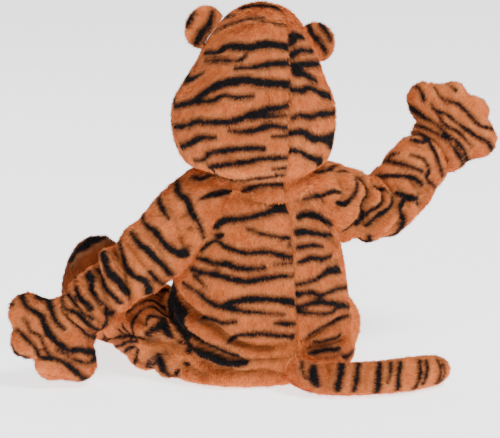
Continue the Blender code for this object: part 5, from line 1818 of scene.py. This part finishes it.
class TIGER_OT_tail(bpy.types.Operator):
    """Dresses the stuffed tail"""

    bl_idname = "tiger.tail"
    bl_label = "Tail"

    def execute(self, context):
        wrap = tail_wrap()
        wrap.crease(crease_table().get("tail", ()))
        dress(context.scene.tiger_costume, wrap, seed=12, walled=False)
        return {"FINISHED"}


class TIGER_OT_ears(bpy.types.Operator):
    """Dresses the ears, each a padded back and front"""

    bl_idname = "tiger.ears"
    bl_label = "Ears"

    def execute(self, context):
        settings = context.scene.tiger_costume
        materials = plush_set(settings)
        for number, (side, (base, up)) in enumerate(EARS.items()):
            across = np.cross(up, (0.0, 1.0, 0.0))
            for half in ("back", "front"):
                node = f"ear_{side}_{half}"
                cloth = rounded_cloth(node, 1.2, 1, up, plane_chart(base, across, up))
                dress_panel(
                    settings, node, cloth, cloth.quads,
                    stripe_table().get(node, ()),
                    materials, 130 + number * 2 + (half == "front"), walled=False,
                )
        return {"FINISHED"}


CAMERA_TARGET = (12.7, -5.2, 193.0)
CAMERA_AZIMUTH = 159.0
CAMERA_ELEVATION = 12.0
CAMERA_DISTANCE = 2.4
VIEW_WIDTH = 0.625
SENSOR = 36.0


class TIGER_OT_stage(bpy.types.Operator):
    """Adds the studio: pale floor, soft lights and the camera"""

    bl_idname = "tiger.stage"
    bl_label = "Studio"

    def execute(self, context):
        settings = context.scene.tiger_costume
        bpy.ops.object.select_all(action="DESELECT")
        bpy.ops.mesh.primitive_plane_add(size=40.0, location=(0.0, 0.0, FLOOR))
        floor = context.active_object
        floor.name = "studio_floor"
        bpy.ops.object.transform_apply(location=True, rotation=True, scale=True)
        floor.data.materials.append(stage_material(settings.floor))
        target = Vector(place(CAMERA_TARGET))
        turn = math.radians(CAMERA_AZIMUTH)
        rise = math.radians(CAMERA_ELEVATION)
        back = Vector((
            math.sin(turn) * math.cos(rise), -math.cos(turn) * math.cos(rise), math.sin(rise),
        ))
        self.soft_light("key_light", target, (-0.9, 1.5, 2.7), 1.0, 112.0)
        self.soft_light("fill_light", target, (2.2, 1.8, 1.3), 1.4, 22.0)
        self.soft_light("front_light", target, (0.6, -2.4, 1.6), 1.8, 20.0)
        world = bpy.data.worlds.new("studio_air")
        context.scene.world = world
        world.use_nodes = True
        air = world.node_tree.nodes["Background"]
        air.inputs["Color"].default_value = (1.0, 1.0, 1.0, 1.0)
        air.inputs["Strength"].default_value = 0.34
        camera_data = bpy.data.cameras.new("camera")
        camera_data.sensor_width = SENSOR
        camera_data.lens = SENSOR * CAMERA_DISTANCE / VIEW_WIDTH
        camera_data.clip_end = 100.0
        camera = bpy.data.objects.new("camera", camera_data)
        context.scene.collection.objects.link(camera)
        camera.location = target + back * CAMERA_DISTANCE
        camera.rotation_euler = (-back).to_track_quat("-Z", "Y").to_euler()
        context.scene.camera = camera
        return {"FINISHED"}

    def soft_light(self, name, target, offset, size, power):
        data = bpy.data.lights.new(name, "AREA")
        data.shape = "DISK"
        data.size = size
        data.energy = power
        light = bpy.data.objects.new(name, data)
        bpy.context.scene.collection.objects.link(light)
        light.location = target + Vector(offset)
        light.rotation_euler = (-Vector(offset)).to_track_quat("-Z", "Y").to_euler()


PIECE_OPERATORS = (
    TIGER_OT_hood, TIGER_OT_ears, TIGER_OT_body, TIGER_OT_placket, TIGER_OT_sleeves, TIGER_OT_paws,
    TIGER_OT_legs, TIGER_OT_booties, TIGER_OT_tail, TIGER_OT_stage,
)


class TIGER_PT_panel(bpy.types.Panel):
    """Lists the costume's pieces and settings"""

    bl_idname = "TIGER_PT_panel"
    bl_label = "Tiger costume"
    bl_space_type = "VIEW_3D"
    bl_region_type = "UI"
    bl_category = "Tiger costume"

    def draw(self, context):
        for operator in PIECE_OPERATORS:
            self.layout.operator(operator.bl_idname)
        settings = context.scene.tiger_costume
        for name in TigerCostumeSettings.__annotations__:
            self.layout.prop(settings, name)


CLASSES = (TigerCostumeSettings, *PIECE_OPERATORS, TIGER_PT_panel)


def register():
    for item in CLASSES:
        bpy.utils.register_class(item)
    bpy.types.Scene.tiger_costume = bpy.props.PointerProperty(type=TigerCostumeSettings)


def unregister():
    del bpy.types.Scene.tiger_costume
    for item in reversed(CLASSES):
        bpy.utils.unregister_class(item)


def main():
    register()
    bpy.ops.tiger.hood()
    bpy.ops.tiger.ears()
    bpy.ops.tiger.body()
    bpy.ops.tiger.placket()
    bpy.ops.tiger.sleeves()
    bpy.ops.tiger.paws()
    bpy.ops.tiger.legs()
    bpy.ops.tiger.booties()
    bpy.ops.tiger.tail()
    bpy.ops.tiger.stage()


if __name__ == "__main__":
    main()
